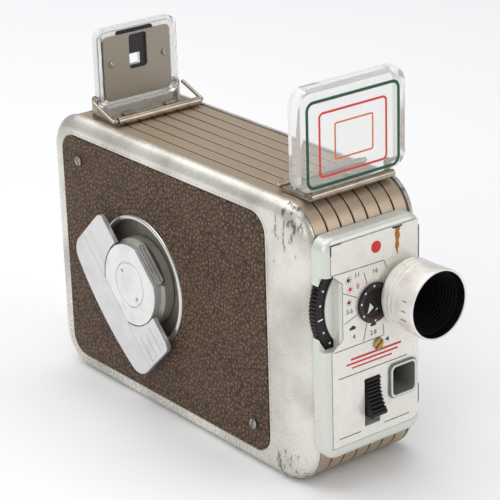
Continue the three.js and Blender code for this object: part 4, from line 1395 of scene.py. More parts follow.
@dataclass
class WindingSide(Assembly):
    """The shell on the winding side with its hide and the round well of the key."""

    well: Pair = (22.0, 54.8)
    well_radius: float = 25.8
    lip_radius: float = 27.6
    casing: Casing = field(default_factory=lambda: Casing(side=-1))

    def build(self) -> None:
        """Makes the shell, the hide and the well."""
        shell = self.casing.shell("winding_casing")
        holes = [
            rod("hole", Axis.X, self.well, 27.1, -40, -20, 128),
            rod("hole", Axis.X, (62.1, 95.8), 1.5, -30, -20, 24),
            rod("hole", Axis.X, (-49.7, 18.1), 1.5, -30, -20, 24),
        ]
        carve(shell, *holes)
        weigh(shell)
        self.fit(shell, "chassis", ENAMEL, "paint", "case_winding_side")
        hide = self.casing.hide("winding_hide")
        holes = [
            rod("hole", Axis.X, self.well, 27.75, -40, -20, 128),
            rod("hole", Axis.X, (62.1, 95.8), 1.5, -30, -20, 24),
            rod("hole", Axis.X, (-49.7, 18.1), 1.5, -30, -20, 24),
        ]
        carve(hide, *holes)
        weigh(hide)
        self.fit(hide, "chassis", HIDE, "leatherette", "hide_winding_side")
        r = self.well_radius
        # The cup's dark grey colour is painted shade in the recess under the key.
        cup = turned(
            "well_cup", Axis.X, self.well,
            [
                (4.3, -25.2), (r - 0.6, -25.2), (r - 0.15, -25.35), (r, -25.8), (r, -28.2), (27.0, -28.2),
                (27.0, -24.0), (4.3, -24.0), (4.3, -25.2),
            ],
            160,
        )
        self.fit(weigh(cup), "chassis", WELL, "paint")
        lip = self.lip_radius
        ring = turned(
            "well_lip", Axis.X, self.well,
            [
                (r, -28.25), (r, -28.6), (r + 0.08, -28.95), (r + 0.35, -29.15), (r + 0.75, -29.2),
                (lip - 0.55, -29.12), (lip - 0.15, -28.95), (lip, -28.6), (27.0, -28.25), (r, -28.25),
            ],
            160,
        )
        self.fit(weigh(ring), "chassis", LIP, "paint")


@dataclass
class Band(Assembly):
    """The cast band round the body, with six fine grooves that leave seven flat strips."""

    half: float = 22.5
    pitch: float = 6.43
    grooves: int = 6
    low: Pair = (-81.6, 0.0)
    high: Pair = (83.6, 112.4)
    corner: float = 15.6
    groove_depth: float = 0.6

    def station(self, along: float, sunk: float) -> Station:
        """The band's outline at one place across it.

        Args:
            along: Place across the band.
            sunk: Depth under its surface.

        Returns:
            The station.
        """
        low = (self.low[0] + sunk, self.low[1] + sunk)
        high = (self.high[0] - sunk, self.high[1] - sunk)
        return along, low, high, self.corner - sunk

    def build(self) -> None:
        """Makes the band."""
        side = [(0.0, 0.5), (0.15, 0.18), (0.4, 0.03), (0.8, 0.0)]
        rows = [self.station(-self.half + step, sunk) for step, sunk in side]
        cut = [(-0.62, 0.0), (-0.42, 0.05), (-0.28, 0.2), (-0.14, self.groove_depth)]
        cut += [(-step, sunk) for step, sunk in reversed(cut)]
        for i in range(self.grooves):
            middle = (i - (self.grooves - 1) / 2) * self.pitch
            rows += [self.station(middle + step, sunk) for step, sunk in cut]
        rows += [self.station(self.half - step, sunk) for step, sunk in reversed(side)]
        band = lofted("grooved_band", Axis.X, rows, 14)
        tools = [
            slab("hollow", Axis.X, -30, 30, (-78.9, 3.0), (80.9, 109.8), 13.0, 10),
            rod("hole", Axis.Y, (11.8, 74.8), 4.2, -84, -76, 32),
            rod("hole", Axis.Z, (0.0, -24.0), 5.5, -1, 5, 48),
            slab("hole", Axis.Y, -84, -70, (5.5, 32.6), (17.6, 45.2), 2.0, 6),
        ]
        tools += [
            rod("hole", Axis.Z, place, 1.4, 105, 116, 24)
            for place in ((-7.5, -63.0), (10.0, -63.0), (-9.5, 53.0), (11.5, 53.0))
        ]
        carve(band, *tools)
        weigh(band, CREASE)
        self.fit(band, "chassis", TAUPE, "taupe", "band")
        bush = turned(
            "tripod_bush_fine", Axis.Z, (0.0, -24.0),
            [
                (3.1, 0.45), (3.35, 0.2), (5.0, 0.2), (5.2, 0.4), (5.2, 3.3), (7.2, 3.3), (7.2, 9.5),
                (3.1, 9.5), *self.thread(3.1, 9.3, 0.9), (3.1, 0.45),
            ],
            64,
        )
        weigh(bush, 50)
        self.fit(bush, "chassis", NICKEL, "steel", "tripod_bush")

    def thread(self, radius: float, top: float, foot: float) -> list[Pair]:
        """The zigzag of the quarter-inch thread, as rings.

        Args:
            radius: Bore radius.
            top: Where it starts.
            foot: Where it ends.

        Returns:
            Points of the profile.
        """
        pitch = 1.27
        rows = []
        place = top
        while place - pitch > foot:
            rows += [(radius, place), (radius - 0.45, place - pitch / 2)]
            place -= pitch
        return rows


# ---- winding key -------------------------------------------------------------------------------
@dataclass
class Winder(Assembly):
    """Hub, folding key and spring catch, modelled square to the key and then turned to its angle."""

    centre: Pair = (22.0, 54.8)
    tilt: float = KEY_TILT
    hub_radius: float = 18.4
    boss_radius: float = 17.0
    seat: float = -30.2
    face: float = -34.5
    thick: float = 2.4
    half: float = 31.8
    back: float = -28.1
    front: float = 4.1
    axis: Pair = (-33.2, 1.8)
    bow: float = 2.4
    flats: Pair = (-13.4, 14.9)
    catch: Pair = (-31.6, 17.2)

    def swing(self, piece: bpy.types.Object) -> bpy.types.Object:
        """Turns a piece from the key's own frame to its place.

        Args:
            piece: The mesh in the key's frame: x as the body, y along the key, z across it.

        Returns:
            The same mesh.
        """
        move = Vector((0.0, self.centre[0], self.centre[1])) * MM
        piece.data.transform(Matrix.Translation(move) @ Matrix.Rotation(self.tilt, 4, "X"))
        return piece

    def drum(self) -> bpy.types.Object:
        """The drum that turns in the well.

        Returns:
            The drum, with its arbor behind it and the seat of the catch cut in its edge.
        """
        drum = turned(
            "winding_hub_fine", Axis.X, (0, 0),
            [
                (CORE, -25.5), (self.hub_radius - 0.3, -25.5), (self.hub_radius, -25.8),
                (self.hub_radius, self.seat + 0.5), (self.hub_radius - 0.15, self.seat + 0.15),
                (self.hub_radius - 0.5, self.seat), (CORE, self.seat),
            ],
            128,
        )
        arbor = rod("arbor", Axis.X, (0, 0), 3.7, -25.7, -9, 32)
        carve(drum, arbor, how="UNION")
        carve(drum, block("seat", (-40, -9.6, self.flats[1]), (-29.1, 9.6, 30)))
        soften(drum, 0.16, 2, SHARP)
        return self.swing(weigh(drum, CREASE))

    def boss(self) -> bpy.types.Object:
        """The raised boss on the drum.

        Returns:
            The boss with its two flats, ring groove, spanner holes and bores for the pins.
        """
        b, top, foot = self.boss_radius, self.face + 0.1, self.seat + 0.02
        boss = turned(
            "winding_boss", Axis.X, (0, 0),
            [
                (CORE, foot), (b, foot), (b, top + 0.35), (b - 0.1, top + 0.1), (b - 0.35, top), (9.75, top),
                (9.65, top + 0.12), (9.55, top + 0.75), (9.1, top + 0.75), (9.0, top + 0.12), (8.9, top),
                (CORE, top),
            ],
            128,
        )
        tools = [
            block("flat", (-40, -30, -30), (-29, 30, self.flats[0])),
            block("flat", (-40, -30, self.flats[1]), (-29, 30, 30)),
        ]
        tools += [rod("spanner", Axis.X, (y, 0.0), 0.85, -36, self.face + 1.6, 24) for y in (-6.8, 6.8)]
        tools += [rod("bore", Axis.Y, self.axis, 0.8, *span, 24) for span in ((-30, -12.5), (12.5, 30))]
        carve(boss, *tools)
        soften(boss, 0.16, 2, SHARP)
        return self.swing(weigh(boss, CREASE))

    def leaf_outline(self) -> list[Pair]:
        """Outline of the key: tight front corners, wide rear ones and a bowed rear edge.

        Returns:
            Its corners, along the key and across it.
        """
        wide, tight, lean = 7.5, 3.0, 11.5
        rear = self.back + self.bow - 0.15
        points = arc((self.half - wide, rear + wide), wide, -90 + lean, 0, 10)
        points += arc((self.half - tight, self.front - tight), tight, 0, 90, 8)
        points += arc((-self.half + tight, self.front - tight), tight, 90, 180, 8)
        points += arc((-self.half + wide, rear + wide), wide, 180, 270 - lean, 10)
        edge_u, edge_v = points[-1]
        for i in range(1, 16):
            u = edge_u * (1 - i / 8)
            points.append((u, edge_v - self.bow * (1 - (u / edge_u) ** 2)))
        return points

    def leaf(self) -> bpy.types.Object:
        """The folding key.

        Returns:
            A thick leaf with a round window, engraved lines and dressed edges.
        """
        leaf = outlined("winding_key_fine", Axis.X, self.face, self.face + self.thick, self.leaf_outline())
        soften(leaf, 0.45, 4, SHARP)
        r = self.boss_radius + 0.3
        window = rod("window", Axis.X, (0, 0), r, -40, -20, 128)
        keep = block("keep", (-41, -30, self.flats[0] - 0.3), (-19, 30, 30))
        carve(window, keep, how="INTERSECT")
        tools = [window, block("mouth", (-40, -r - 0.2, -1), (-20, r + 0.2, 10))]
        depth = self.face + 0.25
        for i in range(3):
            across = -9.9 + 4.35 * i
            tools.append(block("line", (-40, -30.5, across - 0.15), (depth, -19.2, across + 0.15)))
        tools.append(block("line", (-40, -30.8, -14.0), (depth, 30.8, -13.68)))
        bore = rod("bore", Axis.Y, self.axis, 0.8, -20.4, 20.4, 24)
        carve(leaf, *tools, bore)
        soften(leaf, 0.1, 1, SHARP)
        return self.swing(weigh(leaf, CREASE))

    def spring_catch(self) -> bpy.types.Object:
        """The ribbed roller beside the boss.

        Returns:
            The roller with its three ribs.
        """
        barrel = turned(
            "key_catch_fine", Axis.Y, self.catch,
            [
                (CORE, -9.2), (1.4, -9.2), (1.7, -9.0), (1.8, -8.6), (1.8, 8.6), (1.7, 9.0), (1.4, 9.2),
                (CORE, 9.2),
            ],
            48,
        )
        for i in range(3):
            angle = math.radians(90 + 45 * i)
            place = (self.catch[0] + 1.82 * math.cos(angle), self.catch[1] + 1.82 * math.sin(angle))
            carve(barrel, rod("rib", Axis.Y, place, 0.42, -8.6, 8.6, 20), how="UNION")
        return self.swing(weigh(barrel, CREASE))

    def build(self) -> None:
        """Makes the drum, boss, key, catch and pins."""
        self.fit(self.drum(), "winder", DRUM, "aluminium", "winding_hub")
        self.fit(self.boss(), "winder", FACED, "aluminium")
        self.fit(self.leaf(), "key", BRUSHED, "aluminium", "winding_key")
        self.fit(self.spring_catch(), "winder", STEEL, "nickel", "key_catch")
        for name, start in (("key_pin_a", -20.3), ("key_pin_b", 12.8)):
            ends = (start, start + 7.5)
            piece = pin(f"{name}_fine", Axis.Y, self.axis, 0.55, ends, (0.15, 0.15), 24)
            self.fit(self.swing(piece), "key", STEEL, "steel", name)


# ---- the front ---------------------------------------------------------------------------------
def sheet_outline(grow: float) -> list[Pair]:
    """Outline of the face plate: straight but for a round corner and a step beside the ring.

    Args:
        grow: How far outside the plate's own edge.

    Returns:
        The corners, as x and z.
    """
    left, right, low, high = -22.4 - grow, 19.8 + grow, 19.8 - grow, 100.8 + grow
    step = -17.0 - grow
    radius = 3.5 + grow
    points = [(left, low), *arc((right - radius, low + radius), radius, -90, 0, 8)]
    points += [(right, high), (left, high), (left, 89.8 - grow), (step, 84.9 - grow * 0.4)]
    return [*points, (step, 62.8 + grow * 0.4), (left, 58.8 + grow)]


@dataclass
class FrontPanel(Assembly):
    """The lacquered casting across the front, the plate let into it and what is printed there."""

    low: Pair = (-25.6, 15.0)
    high: Pair = (21.5, 103.3)
    back: float = -82.3
    face: float = -89.3
    plate_face: float = -89.5
    plate_back: float = -88.9
    lens: Pair = (11.8, 74.8)
    ring: Pair = (-3.6, 74.5)
    dial: Pair = (-2.5, 73.8)
    screw: Pair = (-0.4, 56.5)

    def openings(self, deep: float) -> list[bpy.types.Object]:
        """The holes that go through both the casting and the plate.

        Args:
            deep: How far in the release slot goes.

        Returns:
            The cutting solids.
        """
        return [
            rod("hole", Axis.Y, self.dial, 1.8, -95, -86.2, 32),
            rod("hole", Axis.Y, self.screw, 1.5, -95, -85, 32),
            block("hole", (-7.0, -95, 24.3), (0.6, deep, 43.7)),
            slab("hole", Axis.Y, -95, -80, (5.5, 32.6), (17.6, 45.2), 2.0, 6),
            rod("hole", Axis.Y, self.lens, 6.3, -95, -86.6, 64),
        ]

    def casting(self) -> bpy.types.Object:
        """The lacquered casting.

        Returns:
            The casting with its pocket, ring groove and the opening at the ring's edge.
        """
        casting = lofted(
            "front_casting_fine", Axis.Y,
            softened_stations(self.back, self.face, self.low, self.high, 5.5, 2.6, 8), 10,
        )
        notch = block("notch", (-30, -95, 59.5), (-19, -85.8, 88.8))
        carve(notch, rod("keep", Axis.Y, self.ring, 19.6, -96, -80, 96))
        groove = turned(
            "groove", Axis.Y, self.ring,
            [(24.4, -86.1), (24.4, -81.3), (19.1, -81.3), (19.1, -86.1), (24.4, -86.1)], 128,
        )
        recess = block("recess", (-30, -95, 60.3), (-18.9, -86.6, 88.0))
        carve(
            casting, outlined("pocket", Axis.Y, -92.5, self.plate_back + 0.3, sheet_outline(0.3)), recess,
            groove, notch, rod("hole", Axis.Y, self.lens, 3.75, -95, -78, 48), *self.openings(-83.4),
        )
        soften(casting, 0.18, 2, SHARP)
        return weigh(casting, CREASE)

    def sheet(self) -> bpy.types.Object:
        """The plate let into the casting.

        Returns:
            The thin plate with its openings.
        """
        sheet = outlined("face_plate_fine", Axis.Y, self.plate_face, self.plate_back, sheet_outline(0.0))
        carve(sheet, *self.openings(-80))
        soften(sheet, 0.12, 2, SHARP)
        return weigh(sheet, CREASE)

    def guides(self) -> list[bpy.types.Object]:
        """The ruled lines that divide the plate into fields round the dial.

        Returns:
            The thin printed lines.
        """
        rules = [
            [(-22.0, 89.4), (2.8, 88.9), (4.0, 85.8)],
            [(-21.5, 58.8), (2.6, 59.0), (2.2, 63.6)],
            [(-6.9, 86.5), (-5.5, 81.8)],
            [(-17.0, 81.2), (-10.4, 77.8)],
            [(-16.6, 68.8), (-10.5, 70.9)],
            [(-5.7, 66.5), (-7.4, 59.4)],
        ]
        lines = [stroke("rule", points, 0.24) for points in rules]
        foot = [[(-19.5, 23.0), (-9.0, 23.0)], [(2.6, 23.0), (15.0, 23.0)], [(-19.5, 47.6), (14.0, 47.6)]]
        return lines + [stroke("rule", points, 0.3) for points in foot]

    def figures(self) -> list[bpy.types.Object]:
        """The numbers round the dial.

        Returns:
            The printed figures.
        """
        rows = [
            ("11", 1.9, (-10.2, 86.6)), ("16", 1.9, (-1.5, 85.9)), ("5.6", 1.8, (-14.0, 73.2)),
            ("4", 1.9, (-12.0, 62.6)), ("2.8", 1.8, (-2.6, 61.6)),
        ]
        return [numeral("figure", words, size, place) for words, size, place in rows]

    def pictograms(self) -> list[bpy.types.Object]:
        """Weather signs beside the numbers.

        Returns:
            Two suns and two clouds.
        """
        made = [self.sun((-14.4, 85.6), 0.75), self.sun((-14.2, 76.8), 0.65)]
        return made + [self.cloud((-12.6, 65.6), 0.75), self.cloud((-2.6, 64.3), 0.7)]

    def sun(self, place: Pair, size: float) -> bpy.types.Object:
        """A disc with eight rays.

        Args:
            place: Its middle.
            size: Radius of the disc in mm.

        Returns:
            The sign.
        """
        parts = [rod("sun", Axis.Y, place, size, INK_FOOT, INK_TOP, 24)]
        for i in range(8):
            angle = math.pi / 4 * i
            way = (math.cos(angle), math.sin(angle))
            near = (place[0] + way[0] * size * 1.4, place[1] + way[1] * size * 1.4)
            far = (place[0] + way[0] * size * 2.1, place[1] + way[1] * size * 2.1)
            parts.append(stroke("ray", [near, far], 0.22))
        return merged("sun", parts)

    def cloud(self, place: Pair, size: float) -> bpy.types.Object:
        """A flat-bottomed cloud of three lobes.

        Args:
            place: Middle of its base.
            size: Radius of the middle lobe in mm.

        Returns:
            The sign.
        """
        x, z = place
        outline = [(x - 2 * size, z), (x + 2 * size, z)]
        outline += arc((x + 1.25 * size, z + 0.75 * size), 0.75 * size, -60, 90, 6)
        outline += arc((x + 0.1 * size, z + 1.2 * size), size, 25, 155, 8)
        outline += arc((x - 1.3 * size, z + 0.7 * size), 0.7 * size, 90, 240, 6)
        return outlined("cloud", Axis.Y, INK_FOOT, INK_TOP, outline)

    def red_marks(self) -> list[bpy.types.Object]:
        """The red parts of the print.

        Returns:
            The number and sun of the usual setting, a plain disc and three stripes.
        """
        made = [numeral("figure", "8", 2.1, (-9.9, 82.1)), self.sun((-13.6, 81.9), 0.75)]
        stud = turned(
            "stud", Axis.Y, (-1.0, 95.2),
            [(CORE, INK_FOOT), (2.3, INK_FOOT), (2.3, -89.66), (2.15, -89.72), (CORE, -89.75)], 48,
        )
        made.append(stud)
        for i, (left, right) in enumerate(((-13.6, 11.0), (-15.8, 9.4), (-13.2, 6.4))):
            z = 53.8 - 1.75 * i
            made.append(stroke("stripe", [(left, z), (right, z)], 0.85 - 0.12 * i))
        return made

    def build(self) -> None:
        """Makes the casting, the plate and everything printed on it."""
        self.fit(self.casting(), "chassis", CASTING, "cast", "front_casting")
        self.fit(self.sheet(), "chassis", PLATE, "aluminium", "face_plate")
        dark = merged("printed_rules", self.guides() + self.figures() + self.pictograms())
        self.fit(dark, "chassis", BLACK_INK, "black")
        red = merged("printed_red_marks", self.red_marks())
        self.fit(red, "chassis", RED_INK, "paint")
        arrow = outlined(
            "screw_arrow", Axis.Y, INK_FOOT, INK_TOP, [(3.1, 57.0), (4.9, 56.1), (4.9, 58.0)],
        )
        self.fit(arrow, "chassis", BLACK_INK, "black")
        joint = outlined(
            "chipped_corner", Axis.Y, INK_FOOT, INK_TOP,
            [(6.6, 100.7), (7.4, 100.0), (9.3, 99.8), (11.7, 100.2), (11.9, 100.7)],
        )
        gaps = [
            joint, stroke("gap", [(-22.45, 97.0), (-22.45, 100.9), (-17.6, 100.9)], 0.34),
            stroke("gap", [(19.9, 84.0), (19.9, 98.4)], 0.4),
            stroke("gap", [(19.9, 26.0), (19.9, 34.0)], 0.34),
        ]
        self.fit(merged("dark_joints", gaps), "chassis", JOINT_DIRT_AND_SLOT_SHADE, "black")
        streak = outlined(
            "rust_streak", Axis.Y, INK_FOOT, INK_TOP + 0.03,
            [
                (8.4, 99.7), (8.1, 97.6), (8.6, 95.2), (8.2, 93.0), (9.0, 90.4), (9.5, 89.2), (9.7, 91.6),
                (10.4, 93.2), (9.9, 95.0), (10.8, 96.4), (10.3, 98.4), (10.9, 99.8),
            ],
        )
        self.fit(streak, "chassis", RUST, "paint")


@dataclass
class FootageRing(Assembly):
    """The serrated counter ring whose edge looks out beside the plate."""

    centre: Pair = (-3.6, 74.5)
    radius: float = 24.0
    bore: float = 19.4
    front: float = -85.8
    back: float = -82.35
    teeth: int = 96

    def build(self) -> None:
        """Makes the ring and the marks filled into its face."""
        edge = self.radius - 0.25
        ring = turned(
            "footage_ring_fine", Axis.Y, self.centre,
            [
                (edge, self.front + 0.05), (self.radius, self.front + 0.35), (self.radius, self.back - 0.3),
                (edge, self.back), (self.bore, self.back), (self.bore, self.front + 0.2),
                (self.bore + 0.2, self.front), (self.radius - 0.9, self.front), (edge, self.front + 0.05),
            ],
            self.teeth * 4,
        )
        middle = Vector((self.centre[0], 0.0, self.centre[1])) * MM

        def in_gullet(vertex: object) -> bool:
            """Whether a point of the rim lies in the gap between two teeth.

            Args:
                vertex: The point.

            Returns:
                True in a gap.
            """
            arm = vertex.co - middle
            radius = math.hypot(arm.x, arm.z) / MM
            step = math.atan2(arm.z, arm.x) / (2 * math.pi) * self.teeth * 4
            return radius > edge - 0.1 and round(step) % 4 == 0

        with editing(ring):
            pick(ring, "VERT", in_gullet)
            ratio = (self.radius - 0.62) / self.radius
            bpy.ops.transform.resize(value=(ratio, 1.0, ratio), center_override=middle)
        smooth(ring, 25)
        self.fit(ring, "footage", BLACK_RING, "black", "footage_ring")
        marks = []
        for i in range(24):
            angle = math.radians(172.5 + 15 * i)
            if i % 4 == 1:
                marks.append(self.bar(angle, 20.2, 22.6, 0.55))
            else:
                place = (self.centre[0] + 21.4 * math.cos(angle), self.centre[1] + 21.4 * math.sin(angle))
                marks.append(rod("dot", Axis.Y, place, 0.42, self.front + 0.1, self.front - 0.04, 20))
        self.fit(merged("footage_marks", marks), "footage", WHITE_INK, "paint")

    def bar(self, angle: float, start: float, end: float, width: float) -> bpy.types.Object:
        """A short mark pointing at the ring's middle.

        Args:
            angle: Where it stands, in radians.
            start: Radius of its inner end.
            end: Radius of its outer end.
            width: Its width.

        Returns:
            The mark.
        """
        way = (math.cos(angle), math.sin(angle))
        near = (self.centre[0] + start * way[0], self.centre[1] + start * way[1])
        far = (self.centre[0] + end * way[0], self.centre[1] + end * way[1])
        return stroke("bar", [near, far], width, self.front - 0.04, self.front + 0.1)


@dataclass
class ApertureDial(Assembly):
    """The small round dial: black face, dark red rim, white dots and a pointer."""

    centre: Pair = (-2.5, 73.8)
    radius: float = 7.84
    face: float = -90.8

    def build(self) -> None:
        """Makes the dial."""
        disc = turned(
            "aperture_dial_fine", Axis.Y, self.centre,
            [
                (CORE, -86.6), (1.5, -86.6), (1.5, -89.8), (self.radius - 0.1, -89.8), (self.radius, -89.9),
                (self.radius, self.face + 0.2), (self.radius - 0.2, self.face), (5.7, self.face),
                (5.6, self.face - 0.12),
                (5.3, self.face - 0.2), (CORE, self.face - 0.2),
            ],
            96,
        )
        weigh(disc)
        self.fit(disc, "aperture", BLACK, "black", "aperture_dial")
        rim = turned(
            "dial_rim", Axis.Y, self.centre,
            [
                (5.85, self.face + 0.02), (5.85, self.face - 0.03), (7.5, self.face - 0.03),
                (7.5, self.face + 0.02),
                (5.85, self.face + 0.02),
            ],
            96,
        )
        self.fit(rim, "aperture", MAROON, "paint")
        dots = []
        for degrees in (95, 134, 170, 214, 269, 314, 0, 45):
            angle = math.radians(degrees)
            place = (self.centre[0] + 6.9 * math.cos(angle), self.centre[1] + 6.9 * math.sin(angle))
            dots.append(rod("dot", Axis.Y, place, 0.42, self.face, self.face - 0.07, 20))
        x, z = self.centre
        top = self.face - 0.25
        dots.append(outlined(
            "pointer", Axis.Y, self.face - 0.15, top,
            [(x - 2.9, z + 0.8), (x - 4.2, z - 3.3), (x - 1.2, z - 1.3)],
        ))
        dots.append(outlined(
            "sliver", Axis.Y, self.face - 0.15, top,
            [(x - 0.4, z - 2.9), (x + 0.9, z - 2.3), (x + 0.5, z - 1.9)],
        ))
        self.fit(merged("dial_marks", dots), "aperture", WHITE_INK, "paint")


@dataclass
class Lens(Assembly):
    """The turned barrel with its rings, the stepped black bore and the glass at the bottom."""

    centre: Pair = (11.8, 74.8)
    radius: float = 13.5
    back: float = -91.2
    face: float = -109.7

    def build(self) -> None:
        """Makes the barrel, the baffle, the glass and the index ticks."""
        r, back, face = self.radius, self.back, self.face
        profile = [(3.4, -79.0), (3.4, -87.2), (6.0, -87.2), (6.0, back), (r - 1.8, back)]
        profile += [
            (r - 1.4, back - 0.2), (r - 1.2, back - 0.6), (r - 1.2, back - 1.5), (r - 0.2, back - 1.7),
        ]
        for i in range(3):
            start = back - 1.8 - 2.4 * i
            profile += [
                (r, start - 0.15), (r + 0.08, start - 0.5), (r + 0.08, start - 1.3), (r, start - 1.65),
            ]
            profile += [(r - 0.5, start - 1.78), (r - 0.5, start - 2.28)]
        start = back - 9.1
        profile += [
            (r - 0.1, start), (r + 0.05, start - 0.25), (r + 0.36, face + 1.6), (r + 0.4, face + 0.7),
        ]
        profile += [(r + 0.3, face + 0.2), (r + 0.1, face), (r - 0.35, face), (r - 0.6, face + 0.25)]
        profile += [(r - 0.7, face + 2.4), (r - 1.1, face + 3.2), (r - 1.1, -94.0), (2.4, -94.0)]
        profile += [(2.4, -79.0), (3.4, -79.0)]
        barrel = turned("lens_barrel_fine", Axis.Y, self.centre, profile, 160)
        weigh(barrel)
        self.fit(barrel, "chassis", SPUN, "aluminium", "lens_barrel")
        lining = turned(
            "lens_lining", Axis.Y, self.centre,
            [
                (r - 0.55, face + 0.45), (r - 0.64, face + 0.4), (r - 1.2, face + 3.25),
                (r - 1.05, face + 3.28),
                (r - 0.65, face + 2.45), (r - 0.55, face + 0.45),
            ],
            128,
        )
        self.fit(weigh(lining), "chassis", TUBE_BLACK, "black")
        ticks = []
        for degrees, long in ((196, 3.0), (180, 2.0), (164, 2.0)):
            angle = math.radians(degrees)
            tick = block("tick", (r + 0.02, face + 3.4, -0.16), (r + 0.34, face + 3.4 + long, 0.16))
            turn = Matrix.Rotation(-angle, 4, "Y")
            tick.data.transform(Matrix.Translation(Vector((self.centre[0], 0, self.centre[1])) * MM) @ turn)
            ticks.append(tick)
        self.fit(merged("lens_ticks", ticks), "chassis", BLACK_INK, "black")
        inner = [(12.0, -94.4), (12.35, -94.5), (12.35, face + 3.3), (12.0, face + 3.3)]
        steps = 10
        run = (-94.4 - (face + 3.3)) / steps
        for i in range(steps, 0, -1):
            deep = -94.4 - run * (i - 1)
            radius = 6.4 + (12.0 - 6.4) * i / steps
            inner += [
                (radius - 0.3, deep - run + 0.12), (radius - 0.56, deep - run * 0.5), (radius - 0.56, deep),
            ]
        inner[-1] = (6.2, -94.4)
        inner.append((12.0, -94.4))
        baffle = turned("lens_baffle_fine", Axis.Y, self.centre, inner, 128)
        weigh(baffle, 25)
        self.fit(baffle, "chassis", TUBE_BLACK, "black", "lens_baffle")
        dome = [
            (6.0 * math.sin(a), -95.6 - 1.65 * math.cos(a))
            for a in (math.pi / 2 * i / 12 for i in range(13))
        ]
        glass = turned(
            "lens_glass_fine", Axis.Y, self.centre,
            [(CORE, -94.45), (5.98, -94.45), *[(max(CORE, r0), y) for r0, y in reversed(dome)]], 96,
        )
        weigh(glass)
        self.fit(glass, "chassis", OPTIC, "glass", "lens_glass")


@dataclass
class Controls(Assembly):
    """The ribbed release and the view finder's mouth below the lens."""

    release_low: Pair = (-6.6, 28.5)
    release_high: Pair = (0.2, 43.4)
    finder_low: Pair = (4.7, 31.8)
    finder_high: Pair = (18.4, 46.0)

    def release(self) -> bpy.types.Object:
        """The release.

        Returns:
            A curved thumb piece with rounded ribs.
        """
        z0, z1 = self.release_low[1], self.release_high[1]
        outline = [(-84.2, z0), (-84.2, z1), (-89.9, z1), (-90.4, z1 - 0.25), (-90.6, z1 - 0.8)]
        ribs = 8
        top, foot = z1 - 1.3, z0 + 2.6
        pitch = (top - foot) / ribs
        for i in range(ribs):
            here = top - pitch * i
            crest = -90.3 - 3.5 * ((i + 0.6) / ribs) ** 2.0
            root = -90.3 - 3.5 * (i / ribs) ** 2.0 + 0.75
            outline += [(root, here - pitch * 0.1), (root, here - pitch * 0.28)]
            outline += [(crest + 0.12, here - pitch * 0.42), (crest - 0.08, here - pitch * 0.6)]
            outline += [(crest - 0.08, here - pitch * 0.78), (crest + 0.15, here - pitch * 0.93)]
        outline += [(-94.15, z0 + 2.2), (-94.1, z0 + 1.4), (-93.7, z0 + 0.7), (-92.8, z0 + 0.2), (-91.6, z0)]
        piece = outlined("release_fine", Axis.X, self.release_low[0], self.release_high[0], outline)
        soften(piece, 0.14, 2, SHARP)
        return weigh(piece, CREASE)

    def tunnel(self) -> bpy.types.Object:
        """The finder's mouth.

        Returns:
            Its flange and tapering tunnel, one piece.
        """
        low, high = self.finder_low, self.finder_high
        flange = lofted(
            "finder_tunnel_fine", Axis.Y, softened_stations(-89.55, -90.6, low, high, 2.6, 0.6, 4), 8,
        )
        tube = slab(
            "tube", Axis.Y, -90.0, -79.6, (low[0] + 1.1, low[1] + 1.1), (high[0] - 1.1, high[1] - 1.1), 1.8,
            8,
        )
        carve(flange, tube, how="UNION")
        bore = lofted(
            "bore", Axis.Y,
            [
                (-91.0, (5.9, 33.1), (17.2, 44.8), 1.8), (-90.2, (6.1, 33.4), (17.0, 44.5), 1.6),
                (-78.0, (7.8, 36.0), (14.9, 43.0), 0.8),
            ],
            8,
        )
        carve(flange, bore)
        soften(flange, 0.12, 2, SHARP)
        return weigh(flange, CREASE)

    def build(self) -> None:
        """Makes the release, the tunnel, its glass, a black sheet of painted shade behind the glass and a
        dark sheet of painted shade on the floor of the slot behind the release.
        """
        self.fit(self.release(), "release", BLACK, "black", "release_button")
        self.fit(self.tunnel(), "chassis", TUNNEL, "grey", "finder_tunnel")
        low, high = self.finder_low, self.finder_high
        rim = slab(
            "finder_rim", Axis.Y, -90.55, -90.68, (low[0] + 0.5, low[1] + 0.5),
            (high[0] - 0.5, high[1] - 0.5), 2.2, 8,
        )
        carve(
            rim,
            slab(
                "inner", Axis.Y, -91, -90, (low[0] + 1.3, low[1] + 1.2), (high[0] - 1.3, high[1] - 1.2),
                1.8, 8,
            ),
        )
        self.fit(weigh(rim), "chassis", CASTING, "cast")
        glass = lofted(
            "finder_glass_fine", Axis.Y,
            softened_stations(-78.1, -79.3, (6.6, 34.8), (16.1, 43.8), 0.9, 0.25, 3), 6,
        )
        weigh(glass)
        self.fit(glass, "chassis", OPTIC, "glass", "finder_glass")
        # A black sheet behind the finder glass: painted shade for the dark inside beyond the window.
        painted_shade_sheet = slab("finder_painted_shade", Axis.Y, -77.9, -77.5, (6.2, 34.4), (16.5, 44.2), 0.8, 6)
        self.fit(weigh(painted_shade_sheet), "chassis", BLACK, "black")
        # A dark sheet on the floor of the release slot: painted shade at the bottom of the slot.
        floor = slab("release_slot_floor", Axis.Y, -83.38, -83.0, (-7.0, 24.3), (0.6, 43.7), 0.3, 3)
        self.fit(weigh(floor), "chassis", JOINT_DIRT_AND_SLOT_SHADE, "black")


